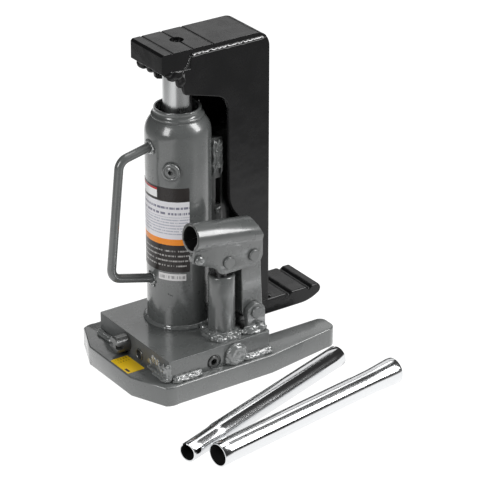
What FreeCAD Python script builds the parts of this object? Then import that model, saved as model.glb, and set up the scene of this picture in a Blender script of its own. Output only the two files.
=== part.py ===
"""Two-tonne hydraulic toe jack, in millimetres, +Z up.

The origin is on the floor, on the axis of the ram.  +X points to the side that carries the
pump, +Y to the toe.  The claw stands part of the way up, as the jack is left after use.
"""
import FreeCAD, Part
import math
import os

import Sketcher

DOC = FreeCAD.newDocument("toe_jack")
V = FreeCAD.Vector

# ---------------------------------------------------------------- driving dimensions

SIZES = (
    # base plate
    ("plate_thick", 16.0), ("plate_mid", 7.0), ("plate_half", 60.5), ("plate_front", 68.0),
    ("nose_half", 29.5), ("shoulder_half", 58.5), ("shoulder_front", 55.5), ("kink_rear", 40.0),
    ("leg_end", 107.0), ("leg_end_half", 50.0), ("slot_half", 31.0), ("slot_front", 42.4),
    ("plate_round", 8.0), ("sticker_long", 25.0), ("sticker_wide", 15.0), ("sticker_thick", 0.2),
    # pump block
    ("block_thick", 17.5), ("block_front", 49.0), ("block_rear", 41.6), ("block_near", 61.0),
    ("block_far", 37.5), ("block_round", 1.5), ("weld_leg", 5.0), ("weld_run", 24.5),
    ("nose_run", 18.0),
    # reservoir, pressure cylinder, top nut
    ("tank_radius", 25.0), ("tank_wall", 2.4), ("tank_height", 153.5), ("dome_rise", 12.0),
    ("collar_radius", 20.3), ("neck_radius", 17.6), ("neck_height", 8.0), ("neck_wall", 1.6),
    ("neck_deep", 14.0),
    ("bore_radius", 12.1), ("barrel_radius", 15.0), ("seat_deep", 4.0), ("gasket_thick", 1.0),
    ("nut_height", 19.0), ("nut_recess", 8.0), ("seal_thick", 3.0),
    # ram and piston
    ("ram_radius", 11.0), ("ram_bottom", 74.0), ("spigot_radius", 6.0), ("piston_thick", 10.0),
    ("cup_thick", 4.0), ("piston_nut_thick", 5.0), ("slide_gap", 0.2),
    # claw
    ("claw_half", 21.2), ("claw_plate", 3.0), ("head_bottom", 243.5), ("head_thick", 15.2),
    ("head_front", 26.5), ("claw_rear", 68.5), ("back_plate", 8.0), ("head_round", 13.0),
    ("head_lip", 4.7), ("seam_front", -2.0),
    ("column_front", 31.6), ("shank_front", 43.4), ("lip_wide", 9.2), ("lip_thick", 3.8),
    ("toe_bottom", 22.3), ("toe_thick", 13.2), ("toe_half", 20.6), ("toe_tip", 118.6),
    ("groove_deep", 0.6), ("groove_half", 1.0), ("toe_groove_deep", 2.2), ("screw_radius", 4.0),
    ("screw_head", 5.3), ("jaw_front", 9.8), ("jaw_deep", 18.0), ("shank_top", 102.0),
    # guide
    ("guide_half", 14.5), ("guide_top", 180.0), ("guide_rise", 2.5), ("saddle_rear", 30.0),
    ("web_half", 5.0), ("flange_half", 15.5), ("flange_thick", 5.0), ("guide_gap", 0.4),
    # carry handle, plug and labels
    ("rod_radius", 3.5), ("grip_top", 180.0), ("grip_bottom", 71.6), ("grip_bend", 9.0),
    ("grip_upper", 51.2), ("grip_lower", 60.8), ("grip_slope", 5.8), ("grip_drop", 9.6),
    ("plug_radius", 6.5), ("plug_stem", 3.8), ("plug_height", 164.0), ("plug_turn", -45.0),
    ("label_bottom", 81.5), ("label_height", 69.0), ("label_span", 112.0), ("label_turn", -126.0),
    ("tag_bottom", 74.5), ("tag_height", 5.5), ("tag_span", 50.0), ("tag_turn", -71.0),
    ("label_thick", 0.25),
    # pump
    ("pump_out", 17.0), ("pump_rear", 10.2), ("pump_radius", 10.3), ("pump_height", 49.5),
    ("plunger_radius", 5.0), ("plunger_bottom", 43.0), ("gland_radius", 7.5), ("gland_deep", 8.0),
    ("eye_radius", 7.0), ("eye_thick", 9.0), ("eye_play", 1.6), ("pivot_height", 96.0),
    # handle socket
    ("socket_bore", 9.2), ("sheet", 2.0), ("flange_out", 10.0), ("socket_tilt", 8.0),
    ("socket_front", 17.0), ("socket_rear", 41.0), ("socket_axis", 117.0), ("pin_radius", 3.5),
    ("pin_head", 4.7), ("head_deep", 1.8), ("clamp_radius", 2.5), ("clamp_front", 14.6),
    ("clamp_height", 103.5), ("clamp_head", 3.8),
    # link and lugs
    ("link_rear", 33.0), ("link_foot", 34.6), ("link_thick", 11.6), ("link_half", 9.4), ("link_taper", 0.6),
    ("foot_height", 47.7), ("lug_thick", 5.0), ("lug_half", 8.2), ("lug_gap", 0.3),
    # valves and plugs
    ("valve_across", 1.0), ("valve_height", 25.0), ("knob_radius", 7.0), ("knob_long", 11.5),
    ("stem_radius", 4.0), ("stem_long", 20.0), ("ball_radius", 2.5), ("key_wide", 3.2),
    ("relief_front", 9.4), ("relief_height", 21.8), ("relief_radius", 5.0), ("relief_long", 10.0),
    ("relief_sunk", 1.2), ("boss_rear", 9.0), ("boss_height", 24.5), ("boss_radius", 8.3),
    ("boss_proud", 5.5),
    ("intake_across", 19.0), ("intake_height", 21.7), ("intake_radius", 5.0),
    ("spring_radius", 2.6), ("spring_wire", 0.4), ("spring_long", 10.0),
    # handle tubes
    ("tube_radius", 9.2), ("tube_wall", 1.3), ("tube_long", 179.5), ("flare_radius", 10.5),
    ("flare_long", 20.0), ("tube_near", 157.7), ("tube_front", 71.2), ("tube_turn", 8.7),
    ("bar_radius", 8.4), ("bar_wall", 1.4), ("bar_long", 182.3), ("swage_radius", 7.3),
    ("swage_long", 33.0), ("bar_near", 141.4), ("bar_front", 86.4), ("bar_turn", 17.9),
    ("notch_wide", 6.4), ("notch_deep", 5.0), ("notch_turn", 42.0),
)

# what stands on, or beside, a piece whose size is above
PLACES = (
    ("guide_bottom", "=plate_thick + block_thick + guide_rise"),
    ("pump_mid", "=tank_radius + pump_out"),
)

SHEET = DOC.addObject("Spreadsheet::Sheet", "dim")
for row, (alias, number) in enumerate(SIZES + PLACES, start=1):
    SHEET.set("A%d" % row, alias)
    SHEET.set("B%d" % row, str(number))
    SHEET.setAlias("B%d" % row, alias)
DOC.recompute()

# places that follow from the driving dimensions
BLOCK_TOP = "(dim.plate_thick + dim.block_thick)"
SEAT = "(%s - dim.seat_deep)" % BLOCK_TOP
SHOULDER = "(%s + dim.tank_height)" % BLOCK_TOP
NECK = "(%s + dim.dome_rise)" % SHOULDER
RIM = "(%s + dim.neck_height)" % NECK
NUT_TOP = "(%s - dim.nut_recess)" % RIM
NUT_BOTTOM = "(%s - dim.nut_height)" % NUT_TOP
TOE_TOP = "(dim.toe_bottom + dim.toe_thick)"
HEAD_TOP = "(dim.head_bottom + dim.head_thick)"
CLAW_INNER = "(dim.claw_half - dim.claw_plate)"
FLANGE_FRONT = "(dim.shank_front + dim.lip_thick + dim.guide_gap)"
PUMP_TOP = "(%s + dim.pump_height)" % BLOCK_TOP
FLANGE_IN = "(dim.flange_out - dim.sheet)"
LUG_IN = "(dim.link_thick / 2 + dim.lug_gap)"

NODES = []


def value(text):
    """The number that an expression on the sheet stands for."""
    return float(SHEET.evalExpression(str(text)))


def finish(thing, label):
    """Names a finished sub-part and lists it for writing."""
    thing.Label = label
    NODES.append(thing)
    return thing


def place(thing, across="0", rear="0", height="0", rotation=None):
    """Binds a placement to the sheet."""
    turn = rotation or FreeCAD.Rotation()
    thing.Placement = FreeCAD.Placement(V(value(across), value(rear), value(height)), turn)
    for axis, text in zip("xyz", (across, rear, height)):
        thing.setExpression("Placement.Base." + axis, str(text))
    return thing


def bind(thing, **sizes):
    """Binds properties of an object to the sheet."""
    for name, text in sizes.items():
        thing.setExpression(name, str(text))
    return thing


# ---------------------------------------------------------------- sketches and features

def plane_of(body, role):
    """One of a body's own origin planes."""
    return [plane for plane in body.Origin.OriginFeatures if plane.Role == role][0]


def arc_between(start, end, radius):
    """The shorter arc from start to end; a negative radius bulges to the left of the way."""
    chord = end - start
    side = V(chord.y, -chord.x, 0)
    side.normalize()
    reach = math.sqrt(max(radius * radius - chord.Length ** 2 / 4, 0))
    sign = 1 if radius > 0 else -1
    centre = (start + end) * 0.5 - side * (sign * reach)
    turn = [math.atan2(spot.y - centre.y, spot.x - centre.x) for spot in (start, end)]
    circle = Part.Circle(centre, V(0, 0, 1), abs(radius))
    if sign > 0:
        return Part.ArcOfCircle(circle, turn[0], turn[1]), (1, 2)
    return Part.ArcOfCircle(circle, turn[1], turn[0]), (2, 1)


def outline(body, role, points, name="outline"):
    """A closed sketch.  A point is (across, up), or (across, up, radius) where an arc leads on."""
    sketch = body.newObject("Sketcher::SketchObject", body.Name + "_" + name)
    sketch.AttachmentSupport = (plane_of(body, role), [""])
    sketch.MapMode = "FlatFace"
    spots = [V(value(point[0]), value(point[1]), 0) for point in points]
    ends = []
    for number, point in enumerate(points):
        start, end = spots[number], spots[(number + 1) % len(spots)]
        if len(point) == 3:
            piece, order = arc_between(start, end, value(point[2]))
        else:
            piece, order = Part.LineSegment(start, end), (1, 2)
        sketch.addGeometry(piece, False)
        ends.append(order)
    for number, point in enumerate(points):
        after = (number + 1) % len(points)
        rule = Sketcher.Constraint("Coincident", number, ends[number][1], after, ends[after][0])
        sketch.addConstraint(rule)
    for number, point in enumerate(points):
        for kind, text, now in (("DistanceX", point[0], spots[number].x),
                                ("DistanceY", point[1], spots[number].y)):
            rule = Sketcher.Constraint(kind, -1, 1, number, ends[number][0], now)
            index = sketch.addConstraint(rule)
            sketch.setExpression("Constraints[%d]" % index, str(text))
        if len(point) == 3:
            rule = Sketcher.Constraint("Radius", number, abs(value(point[2])))
            index = sketch.addConstraint(rule)
            sketch.setExpression("Constraints[%d]" % index, "abs(%s)" % point[2])
    return sketch


def padded(name, role, points, depth, middle=True):
    """A body made by padding one outline."""
    body = DOC.addObject("PartDesign::Body", name)
    pad = body.newObject("PartDesign::Pad", name + "_pad")
    pad.Profile = outline(body, role, points)
    pad.Midplane = middle
    bind(pad, Length=depth)
    body.Tip = pad
    return body


def turned(name, points):
    """A body made by turning one outline about its upright axis."""
    body = DOC.addObject("PartDesign::Body", name)
    sketch = outline(body, "XZ_Plane", points)
    feature = body.newObject("PartDesign::Revolution", name + "_turn")
    feature.Profile = sketch
    feature.ReferenceAxis = (sketch, ["V_Axis"])
    feature.Angle = 360.0
    body.Tip = feature
    return body


def grooved(body, points):
    """Turns an outline about the upright axis and takes it away."""
    DOC.recompute()
    before = body.Shape.Volume
    sketch = outline(body, "XZ_Plane", points, "bore")
    feature = body.newObject("PartDesign::Groove", body.Name + "_groove")
    feature.Profile = sketch
    feature.ReferenceAxis = (sketch, ["V_Axis"])
    feature.Angle = 360.0
    body.Tip = feature
    DOC.recompute()
    if not body.Shape.Volume < before - 1.0:
        raise ValueError("the groove in %s cuts nothing" % body.Label)
    return body


def box(name, spot, size, rotation=None):
    """A block with its lowest corner at spot."""
    solid = bind(DOC.addObject("Part::Box", name), Length=size[0], Width=size[1], Height=size[2])
    return place(solid, *spot, rotation=rotation)


def cylinder(name, spot, radius, height, rotation=None):
    """A round bar from spot, upright unless it is turned."""
    solid = bind(DOC.addObject("Part::Cylinder", name), Radius=radius, Height=height)
    return place(solid, *spot, rotation=rotation)


def fused(name, shapes):
    """Several overlapping solids made one."""
    join = DOC.addObject("Part::MultiFuse", name)
    join.Shapes = shapes
    join.Refine = True
    return join


def cut(name, base, tools):
    """A solid less its tools, which has to remove something."""
    DOC.recompute()
    tool = tools[0] if len(tools) == 1 else fused(name + "_tools", tools)
    less = DOC.addObject("Part::Cut", name)
    less.Base = base
    less.Tool = tool
    DOC.recompute()
    if not less.Shape.Volume < base.Shape.Volume - 0.01:
        raise ValueError("%s is not cut" % name)
    return less


def group(name, shapes):
    """Separate solids kept in one sub-part."""
    bundle = DOC.addObject("Part::Compound", name)
    bundle.Links = shapes
    return bundle


ALONG_X = FreeCAD.Rotation(V(0, 1, 0), 90)
ALONG_Y = FreeCAD.Rotation(V(1, 0, 0), -90)


def ring(name, inner, outer, thick):
    """A turned flat ring with its lower face at zero."""
    return turned(name, [(inner, "0"), (outer, "0"), (outer, thick), (inner, thick)])


# ---------------------------------------------------------------- base plate and block

def base_plate():
    """A flat plate with a blunt nose and two legs either side of the toe."""
    half = [("dim.nose_half", "-dim.plate_front"), ("dim.shoulder_half", "-dim.shoulder_front", "13"),
            ("dim.plate_half", "-dim.shoulder_front + 11"), ("dim.plate_half", "dim.kink_rear"),
            ("dim.leg_end_half + 1.4", "dim.leg_end - dim.plate_round - 1", "dim.plate_round"),
            ("dim.leg_end_half - dim.plate_round + 1", "dim.leg_end"),
            ("dim.slot_half + 6", "dim.leg_end", "6"), ("dim.slot_half", "dim.leg_end - 6"),
            ("dim.slot_half", "dim.slot_front + 3", "-3"), ("dim.slot_half - 3", "dim.slot_front")]
    near = [("dim.plate_mid + " + point[0],) + point[1:] for point in half]
    far = []
    for number in range(len(half) - 1, -1, -1):
        point = half[number]
        arc = half[number - 1][2:] if number else ()
        far.append(("dim.plate_mid - (%s)" % point[0], point[1]) + arc)
    return finish(padded("Plate", "XY_Plane", near + far, "dim.plate_thick", False), "base_plate")


def base_sticker():
    """A small plain sticker on the nose of the plate."""
    spot = ("dim.plate_mid - 1", "-dim.plate_front + 1.2", "dim.plate_thick")
    size = ("dim.sticker_long", "dim.sticker_wide", "dim.sticker_thick")
    return finish(box("Sticker", spot, size), "base_sticker")


def pump_block():
    """The forged block, with its seat for the barrel and its valve chambers."""
    near, far, front, rear = "dim.block_near", "-dim.block_far", "-dim.block_front", "dim.block_rear"
    soft = "dim.block_round"
    points = [(far + " + " + soft, front), (near + " - " + soft, front, soft),
              (near, front + " + " + soft), (near, rear + " - " + soft, soft),
              (near + " - " + soft, rear), (far + " + " + soft, rear, soft),
              (far, rear + " - " + soft), (far, front + " + " + soft, soft)]
    body = padded("Block", "XY_Plane", points, "dim.block_thick", False)
    place(body, height="dim.plate_thick")
    tools = [
        cylinder("Seat", ("0", "0", SEAT), "dim.barrel_radius + dim.slide_gap", "dim.seat_deep + 1"),
        cylinder("Valve_bore", ("dim.valve_across", "-dim.block_front - 1", "dim.valve_height"),
                 "dim.stem_radius + dim.slide_gap", "dim.stem_long + dim.ball_radius * 2 + 2", ALONG_Y),
        cylinder("Relief_bore", ("dim.block_near - dim.relief_long - dim.spring_long - 6",
                                 "-dim.relief_front", "dim.relief_height"),
                 "dim.relief_radius", "dim.relief_long + dim.spring_long + 7", ALONG_X),
        cylinder("Relief_face", ("dim.block_near - dim.relief_sunk", "-dim.relief_front",
                                 "dim.relief_height"), "dim.relief_radius + 1.2", "5", ALONG_X),
        cylinder("Boss_bore", ("dim.block_near - dim.relief_long - dim.spring_long - 6",
                               "dim.boss_rear", "dim.boss_height"),
                 "dim.spring_radius + 0.6", "dim.relief_long + dim.spring_long + 7", ALONG_X),
        cylinder("Boss_seat", ("dim.block_near - 8", "dim.boss_rear", "dim.boss_height"),
                 "dim.boss_radius - 3", "9", ALONG_X),
        cylinder("Intake_bore", ("dim.intake_across", "-dim.block_front - 1", "dim.intake_height"),
                 "dim.intake_radius", "11", ALONG_Y),
    ]
    return finish(cut("Block_bored", body, tools), "pump_block")


def bead(name, spot, long, turn):
    """A three-cornered weld run of the given length, its corner on spot, laid along +X first."""
    points = [("0", "0"), ("dim.weld_leg", "0"), ("0", "dim.weld_leg")]
    body = padded(name, "YZ_Plane", points, long, False)
    return place(body, *spot, rotation=FreeCAD.Rotation(V(0, 0, 1), turn))


def block_welds():
    """Four runs that hold the block to the plate."""
    front, rear, floor, run = "-dim.block_front", "dim.block_rear", "dim.plate_thick", "dim.weld_run"
    runs = [
        bead("Bead_a", ("dim.block_near", front + " + 4 + " + run, floor), run, -90),
        bead("Bead_b", ("dim.block_near", rear, floor), run, -90),
        bead("Bead_c", ("-dim.block_far", rear + " - 4 - " + run, floor), run, 90),
        bead("Bead_d", ("-dim.block_far", front + " + 4", floor), run, 90),
        bead("Bead_e", ("dim.block_near - 1", front, floor), "dim.nose_run", 180),
        bead("Bead_f", ("-dim.block_far + dim.nose_run + 1", front, floor), "dim.nose_run", 180),
    ]
    return finish(group("Block_beads", runs), "block_welds")


# ---------------------------------------------------------------- reservoir and ram

def reservoir_tube():
    """The painted outer tube with its rolled shoulder and threaded neck."""
    outer, neck, collar = "dim.tank_radius", "dim.neck_radius", "dim.collar_radius"
    tall, dome = "dim.tank_height", "(dim.tank_height + dim.dome_rise)"
    rim = "(dim.tank_height + dim.dome_rise + dim.neck_height)"
    fall = "(dim.tank_radius - dim.collar_radius)"
    swing = "((dim.dome_rise ^ 2 + %s ^ 2) / (2 * %s))" % (fall, fall)
    points = [(outer, "0"), (outer, tall, swing), (collar, dome), (collar + " - 0.9", dome + " + 0.5"),
              (collar + " - 0.9", dome + " + 1.2"), (collar + " - 0.3", dome + " + 1.7"),
              (collar + " - 0.3", dome + " + 2.7"), (neck + " + 0.7", dome + " + 3.4"),
              (neck + " + 0.2", rim + " - 2.4"), (neck + " + 0.3", rim + " - 1.9"),
              (neck + " + 0.3", rim + " - 0.8"), (neck, rim), (neck + " - dim.neck_wall", rim),
              (neck + " - dim.neck_wall", rim + " - dim.neck_deep"),
              (outer + " - dim.tank_wall", tall + " - 1"), (outer + " - dim.tank_wall", "0")]
    body = place(turned("Tank", points), height=BLOCK_TOP)
    turn = FreeCAD.Rotation(V(0, 0, 1), value("dim.plug_turn")).multiply(ALONG_X)
    tool = cylinder("Filler_hole", ("0", "0", "dim.plug_height"), "dim.plug_stem + 0.3",
                    "dim.tank_radius + 2", turn)
    return finish(cut("Tank_drilled", body, [tool]), "reservoir_tube")


def reservoir_weld():
    """The ring bead that seals the tube to the block."""
    leg = "dim.weld_leg"
    points = [("dim.tank_radius", "0"), ("dim.tank_radius + " + leg, "0", "dim.weld_leg * 1.1"),
              ("dim.tank_radius", leg)]
    return finish(place(turned("Tank_bead", points), height=BLOCK_TOP), "reservoir_weld")


def barrel_parts():
    """The pressure cylinder, its gasket, the top nut and the two rings that seal the ram."""
    tall = "%s - %s - dim.gasket_thick" % (NUT_BOTTOM, SEAT)
    barrel = ring("Barrel", "dim.bore_radius", "dim.barrel_radius", tall)
    place(barrel, height=SEAT + " + dim.gasket_thick")
    finish(barrel, "pressure_cylinder")
    gasket = ring("Gasket", "dim.bore_radius + 0.4", "dim.barrel_radius", "dim.gasket_thick")
    finish(place(gasket, height=SEAT), "cylinder_gasket")
    room, wide = "dim.ram_radius + dim.slide_gap", "dim.neck_radius - dim.neck_wall - 0.1"
    tall, seal = "dim.nut_height", "dim.seal_thick"
    pocket = "dim.ram_radius + 2"
    points = [(room, "0"), (wide, "0"), (wide, tall), (pocket, tall), (pocket, tall + " - " + seal),
              (room, tall + " - " + seal), (room, "6 + " + seal), (pocket, "6 + " + seal),
              (pocket, "6"), (room, "6")]
    finish(place(turned("Gland_nut", points), height=NUT_BOTTOM), "top_nut")
    seal_ring = ring("Rod_seal", "dim.ram_radius + 0.05", pocket, seal)
    finish(place(seal_ring, height=NUT_BOTTOM + " + 6"), "rod_seal")
    wiper = ring("Wiper", "dim.ram_radius + 0.05", pocket, seal)
    finish(place(wiper, height=NUT_TOP + " - dim.seal_thick"), "ram_wiper")


def ram_parts():
    """The ram, and the piston, cup and nut on its lower end."""
    tall = "(dim.head_bottom - dim.ram_bottom)"
    foot = "(dim.piston_thick + dim.cup_thick + dim.piston_nut_thick)"
    points = [("0", "-%s" % foot), ("dim.spigot_radius", "-%s" % foot), ("dim.spigot_radius", "0"),
              ("dim.ram_radius", "0"), ("dim.ram_radius", tall + " - 1"),
              ("dim.ram_radius - 1", tall), ("dim.screw_radius", tall),
              ("dim.screw_radius", tall + " - 20"), ("0", tall + " - 20")]
    finish(place(turned("Ram", points), height="dim.ram_bottom"), "ram")
    fit = "dim.bore_radius - dim.slide_gap"
    low = "dim.ram_bottom - dim.piston_thick"
    piston = ring("Piston", "dim.spigot_radius", fit, "dim.piston_thick")
    finish(place(piston, height=low), "piston")
    points = [("dim.spigot_radius", "0"), (fit + " - 1", "0"), ("dim.bore_radius - 0.05", "0"),
              (fit, "dim.cup_thick"), ("dim.spigot_radius", "dim.cup_thick")]
    finish(place(turned("Cup", points), height=low + " - dim.cup_thick"), "piston_cup_seal")
    nut = bind(DOC.addObject("Part::Prism", "Piston_hex"), Circumradius="dim.spigot_radius + 3.5",
               Height="dim.piston_nut_thick")
    nut.Polygon = 6
    low = low + " - dim.cup_thick - dim.piston_nut_thick"
    place(nut, height=low)
    hole = cylinder("Piston_nut_hole", ("0", "0", low + " - 1"), "dim.spigot_radius",
                    "dim.piston_nut_thick + 2")
    finish(cut("Piston_nut", nut, [hole]), "piston_nut")


# ---------------------------------------------------------------- claw

def notch(middle, top, wide, deep):
    """Three points of a V cut, for an outline that runs towards the front."""
    return [("%s + %s" % (middle, wide), top), (middle, "%s - %s" % (top, deep)),
            ("%s - %s" % (middle, wide), top)]


def claw_head():
    """The load plate on top, with three grip grooves and a countersunk hole."""
    top, soft = "dim.head_thick", "dim.head_round"
    points = [("-dim.head_front", "0"), ("dim.claw_rear", "0"),
              ("dim.claw_rear", top + " - " + soft, soft), ("dim.claw_rear - " + soft, top)]
    for middle in ("17.5", "0", "-17.4"):
        points += notch(middle, top, "dim.groove_half", "dim.groove_deep")
    points += [("-dim.head_front + 1.5", top), ("-dim.head_front", top + " - 1.5")]
    body = padded("Head", "YZ_Plane", points, "dim.claw_half * 2")
    grooved(body, [("0", "-1"), ("dim.screw_radius", "-1"), ("dim.screw_radius", top + " - 5"),
                   ("dim.screw_head", top + " - 3.6"), ("dim.screw_head", top + " + 1"),
                   ("0", top + " + 1")])
    wide, deep = "dim.claw_plate + 1", "dim.claw_rear - dim.seam_front + 1"
    rebates = []
    for name, across in (("Rebate_near", CLAW_INNER), ("Rebate_far", "-dim.claw_half - 1")):
        rebates.append(box(name, (across, "dim.seam_front", "-1"), (wide, deep, top + " - dim.head_lip + 1")))
    piece = cut("Head_rebated", body, rebates)
    finish(place(piece, height="dim.head_bottom"), "claw_head_plate")
    points = [("0", "-18"), ("dim.screw_radius", "-18"), ("dim.screw_radius", top + " - 5"),
              ("dim.screw_head", top + " - 3.6"), ("dim.screw_head - 0.2", top + " - 2.2"),
              ("2.6", top + " - 2.2"), ("2.6", top + " - 5"), ("0", top + " - 5")]
    finish(place(turned("Head_screw", points), height="dim.head_bottom"), "head_screw")


def claw_plates():
    """The two cheeks, the back plate and the lips that run on the guide."""
    soft, seam, jaw = "dim.head_round", HEAD_TOP + " - dim.head_lip", "dim.head_bottom - dim.jaw_deep"
    swing = "sqrt(dim.head_round ^ 2 - (dim.head_round - dim.head_lip) ^ 2)"
    cheek = [("dim.claw_rear", TOE_TOP), ("dim.claw_rear", HEAD_TOP + " - " + soft, soft),
             ("dim.claw_rear - %s + %s" % (soft, swing), seam), ("dim.seam_front", seam),
             ("dim.seam_front", "dim.head_bottom"),
             ("-dim.jaw_front", "dim.head_bottom"), ("-dim.jaw_front + 2.5", jaw, "3"),
             ("-dim.jaw_front + 5.4", jaw + " - 2.7"), ("dim.column_front - 21.6", jaw + " - 6.5"),
             ("dim.column_front - 9.1", jaw + " - 10.1", "-14"), ("dim.column_front", jaw + " - 22.5"),
             ("dim.column_front", "dim.shank_top + 31", "26"),
             ("dim.shank_front - 5", "dim.shank_top + 14", "-26"),
             ("dim.shank_front", "dim.shank_top"), ("dim.shank_front", TOE_TOP)]
    near = padded("Cheek_near", "YZ_Plane", cheek, "dim.claw_plate", False)
    finish(place(near, across=CLAW_INNER), "claw_cheek_near")
    far = padded("Cheek_far", "YZ_Plane", cheek, "dim.claw_plate", False)
    finish(place(far, across="-dim.claw_half"), "claw_cheek_far")
    spot = ("-" + CLAW_INNER, "dim.claw_rear - dim.back_plate", TOE_TOP)
    size = ("2 * " + CLAW_INNER, "dim.back_plate", "dim.head_bottom - " + TOE_TOP)
    finish(box("Back", spot, size), "claw_back_plate")
    lips = []
    for name, across in (("Lip_near", CLAW_INNER + " - dim.lip_wide"), ("Lip_far", "-" + CLAW_INNER)):
        size = ("dim.lip_wide", "dim.lip_thick", "dim.shank_top - " + TOE_TOP)
        lips.append(box(name, (across, "dim.shank_front", TOE_TOP), size))
    finish(group("Lips", lips), "claw_guide_lips")


def claw_toe():
    """The low lifting toe, with two grip grooves and an upswept tip."""
    low, top, tip = "dim.toe_bottom", TOE_TOP, "dim.toe_tip"
    points = [("dim.shank_front", low), (tip + " - 18.5", low, "32"), (tip + " - 1", low + " + 5.6"),
              (tip, low + " + 8"), (tip, top + " - 3"), (tip + " - 2.5", top)]
    for middle in (tip + " - 11.3", tip + " - 30.6"):
        points += notch(middle, top, "2.7", "dim.toe_groove_deep")
    points.append(("dim.shank_front", top))
    body = padded("Toe", "YZ_Plane", points, "dim.toe_half * 2")
    wide = "(dim.flange_half + dim.guide_gap)"
    spot = ("-" + wide, "dim.shank_front - 1", low + " - 1")
    deep = "%s + dim.flange_thick + dim.guide_gap - dim.shank_front + 1" % FLANGE_FRONT
    room = box("Toe_room", spot, (wide + " * 2", deep, "dim.toe_thick + 2"))
    return finish(cut("Toe_cleared", body, [room]), "claw_toe")


def claw_welds():
    """Runs at the root of the toe and under the front corners of the head."""
    root = [("dim.claw_rear", TOE_TOP), ("dim.claw_rear + 5", TOE_TOP), ("dim.claw_rear", TOE_TOP + " + 5")]
    runs = [padded("Toe_bead", "YZ_Plane", root, "dim.toe_half * 2 - 2")]
    top = "dim.head_bottom"
    corner = [("-dim.head_front + 2", top), ("-dim.jaw_front", top), ("-dim.jaw_front + 1", top + " - 9"),
              ("-dim.jaw_front - 4.2", top + " - 10")]
    for name, across in (("Corner_near", CLAW_INNER), ("Corner_far", "-dim.claw_half")):
        runs.append(place(padded(name, "YZ_Plane", corner, "dim.claw_plate", False), across=across))
    return finish(group("Claw_beads", runs), "claw_welds")


# ---------------------------------------------------------------- guide, grip, plug, labels

def guide():
    """The saddle welded to the reservoir, and the T rail that the lips run on."""
    tall = "dim.guide_top - dim.guide_bottom"
    front = "dim.tank_radius - 5"
    slab = box("Saddle_slab", ("-dim.guide_half", front, "dim.guide_bottom"),
               ("dim.guide_half * 2", "dim.saddle_rear - (%s)" % front, tall))
    tank = cylinder("Saddle_round", ("0", "0", "dim.guide_bottom - 1"), "dim.tank_radius", tall + " + 2")
    ledge = turned("Saddle_clear", [("dim.tank_radius - 1", "0"),
                                    ("dim.tank_radius + dim.weld_leg + 0.2", "0"),
                                    ("dim.tank_radius + dim.weld_leg + 0.2", "dim.weld_leg + 0.2"),
                                    ("dim.tank_radius - 1", "dim.weld_leg + 0.2")])
    place(ledge, height=BLOCK_TOP)
    finish(cut("Saddle", slab, [tank, ledge]), "guide_saddle")
    web = box("Web", ("-dim.web_half", "dim.saddle_rear", "dim.guide_bottom"),
              ("dim.web_half * 2", FLANGE_FRONT + " - dim.saddle_rear + 1", tall))
    flange = box("Flange", ("-dim.flange_half", FLANGE_FRONT, "dim.guide_bottom"),
                 ("dim.flange_half * 2", "dim.flange_thick", tall))
    finish(fused("Tee", [web, flange]), "guide_rail")


def grip_route():
    """The centre line of the carry handle, from the upper weld to the lower one."""
    skin = -value("dim.tank_radius") + 0.4
    high, low = value("dim.grip_top"), value("dim.grip_bottom")
    corners = [V(0, skin, high), V(0, -value("dim.grip_upper"), high - value("dim.grip_slope")),
               V(0, -value("dim.grip_lower"), low + value("dim.grip_drop")), V(0, skin, low)]
    bend = value("dim.grip_bend")
    edges, last = [], corners[0]
    for before, here, after in zip(corners, corners[1:], corners[2:]):
        back, on = (before - here).normalize(), (after - here).normalize()
        half = back.getAngle(on) / 2
        reach = bend / math.tan(half)
        inner = here + (back + on).normalize() * (bend / math.sin(half))
        middle = inner - (back + on).normalize() * bend
        start, end = here + back * reach, here + on * reach
        edges += [Part.LineSegment(last, start).toShape(), Part.Arc(start, middle, end).toShape()]
        last = end
    edges.append(Part.LineSegment(last, corners[-1]).toShape())
    return Part.Wire(edges)


def carry_handle():
    """A bent round rod, and the two weld rings that hold it."""
    route = grip_route()
    start = route.Edges[0].Vertexes[0].Point
    heading = route.Edges[0].tangentAt(route.Edges[0].FirstParameter)
    circle = Part.Wire([Part.makeCircle(value("dim.rod_radius"), start, heading)])
    rod = route.makePipeShell([circle], True, False)
    tank = Part.makeCylinder(value("dim.tank_radius"), value("dim.tank_height"), V(0, 0, value(BLOCK_TOP)))
    piece = DOC.addObject("Part::Feature", "Rod")
    piece.Shape = rod.cut(tank).Solids[0]
    finish(piece, "carry_handle")
    rings = []
    for height, slope in (("dim.grip_top", -12.6), ("dim.grip_bottom", 15.0)):
        spot = V(0, -value("dim.tank_radius") + 0.6, value(height))
        turn = FreeCAD.Rotation(V(1, 0, 0), 90 + slope)
        along = turn.multVec(V(0, 0, 1))
        wide = value("dim.rod_radius")
        cone = Part.makeCone(wide + 2.6, wide + 0.7, 3.4, spot, along)
        core = Part.makeCylinder(wide, 12, spot - along * 4, along)
        rings.append(cone.cut(tank).cut(core.fuse(rod)).Solids[0])
    beads = DOC.addObject("Part::Feature", "Rod_beads")
    beads.Shape = Part.makeCompound(rings)
    finish(beads, "carry_handle_welds")


def filler_plug():
    """The rubber plug in the filling hole, with a dished face and a blind hole in its middle."""
    points = [("0", "-7"), ("dim.plug_stem", "-7"), ("dim.plug_stem", "0"), ("dim.plug_radius", "0"),
              ("dim.plug_radius", "1.2", "1.2"), ("dim.plug_radius - 1.2", "2.4"),
              ("dim.plug_radius - 2", "2"), ("2.2", "2.5"), ("1.7", "2.2"), ("1.7", "0.5"), ("0", "0.5")]
    piece = turned("Plug", points)
    turn = FreeCAD.Rotation(V(0, 0, 1), value("dim.plug_turn")).multiply(ALONG_X)
    out = "(dim.tank_radius + 0.05)"
    place(piece, out + " * cos(dim.plug_turn)", out + " * sin(dim.plug_turn)", "dim.plug_height", turn)
    return finish(piece, "filler_plug")


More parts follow.
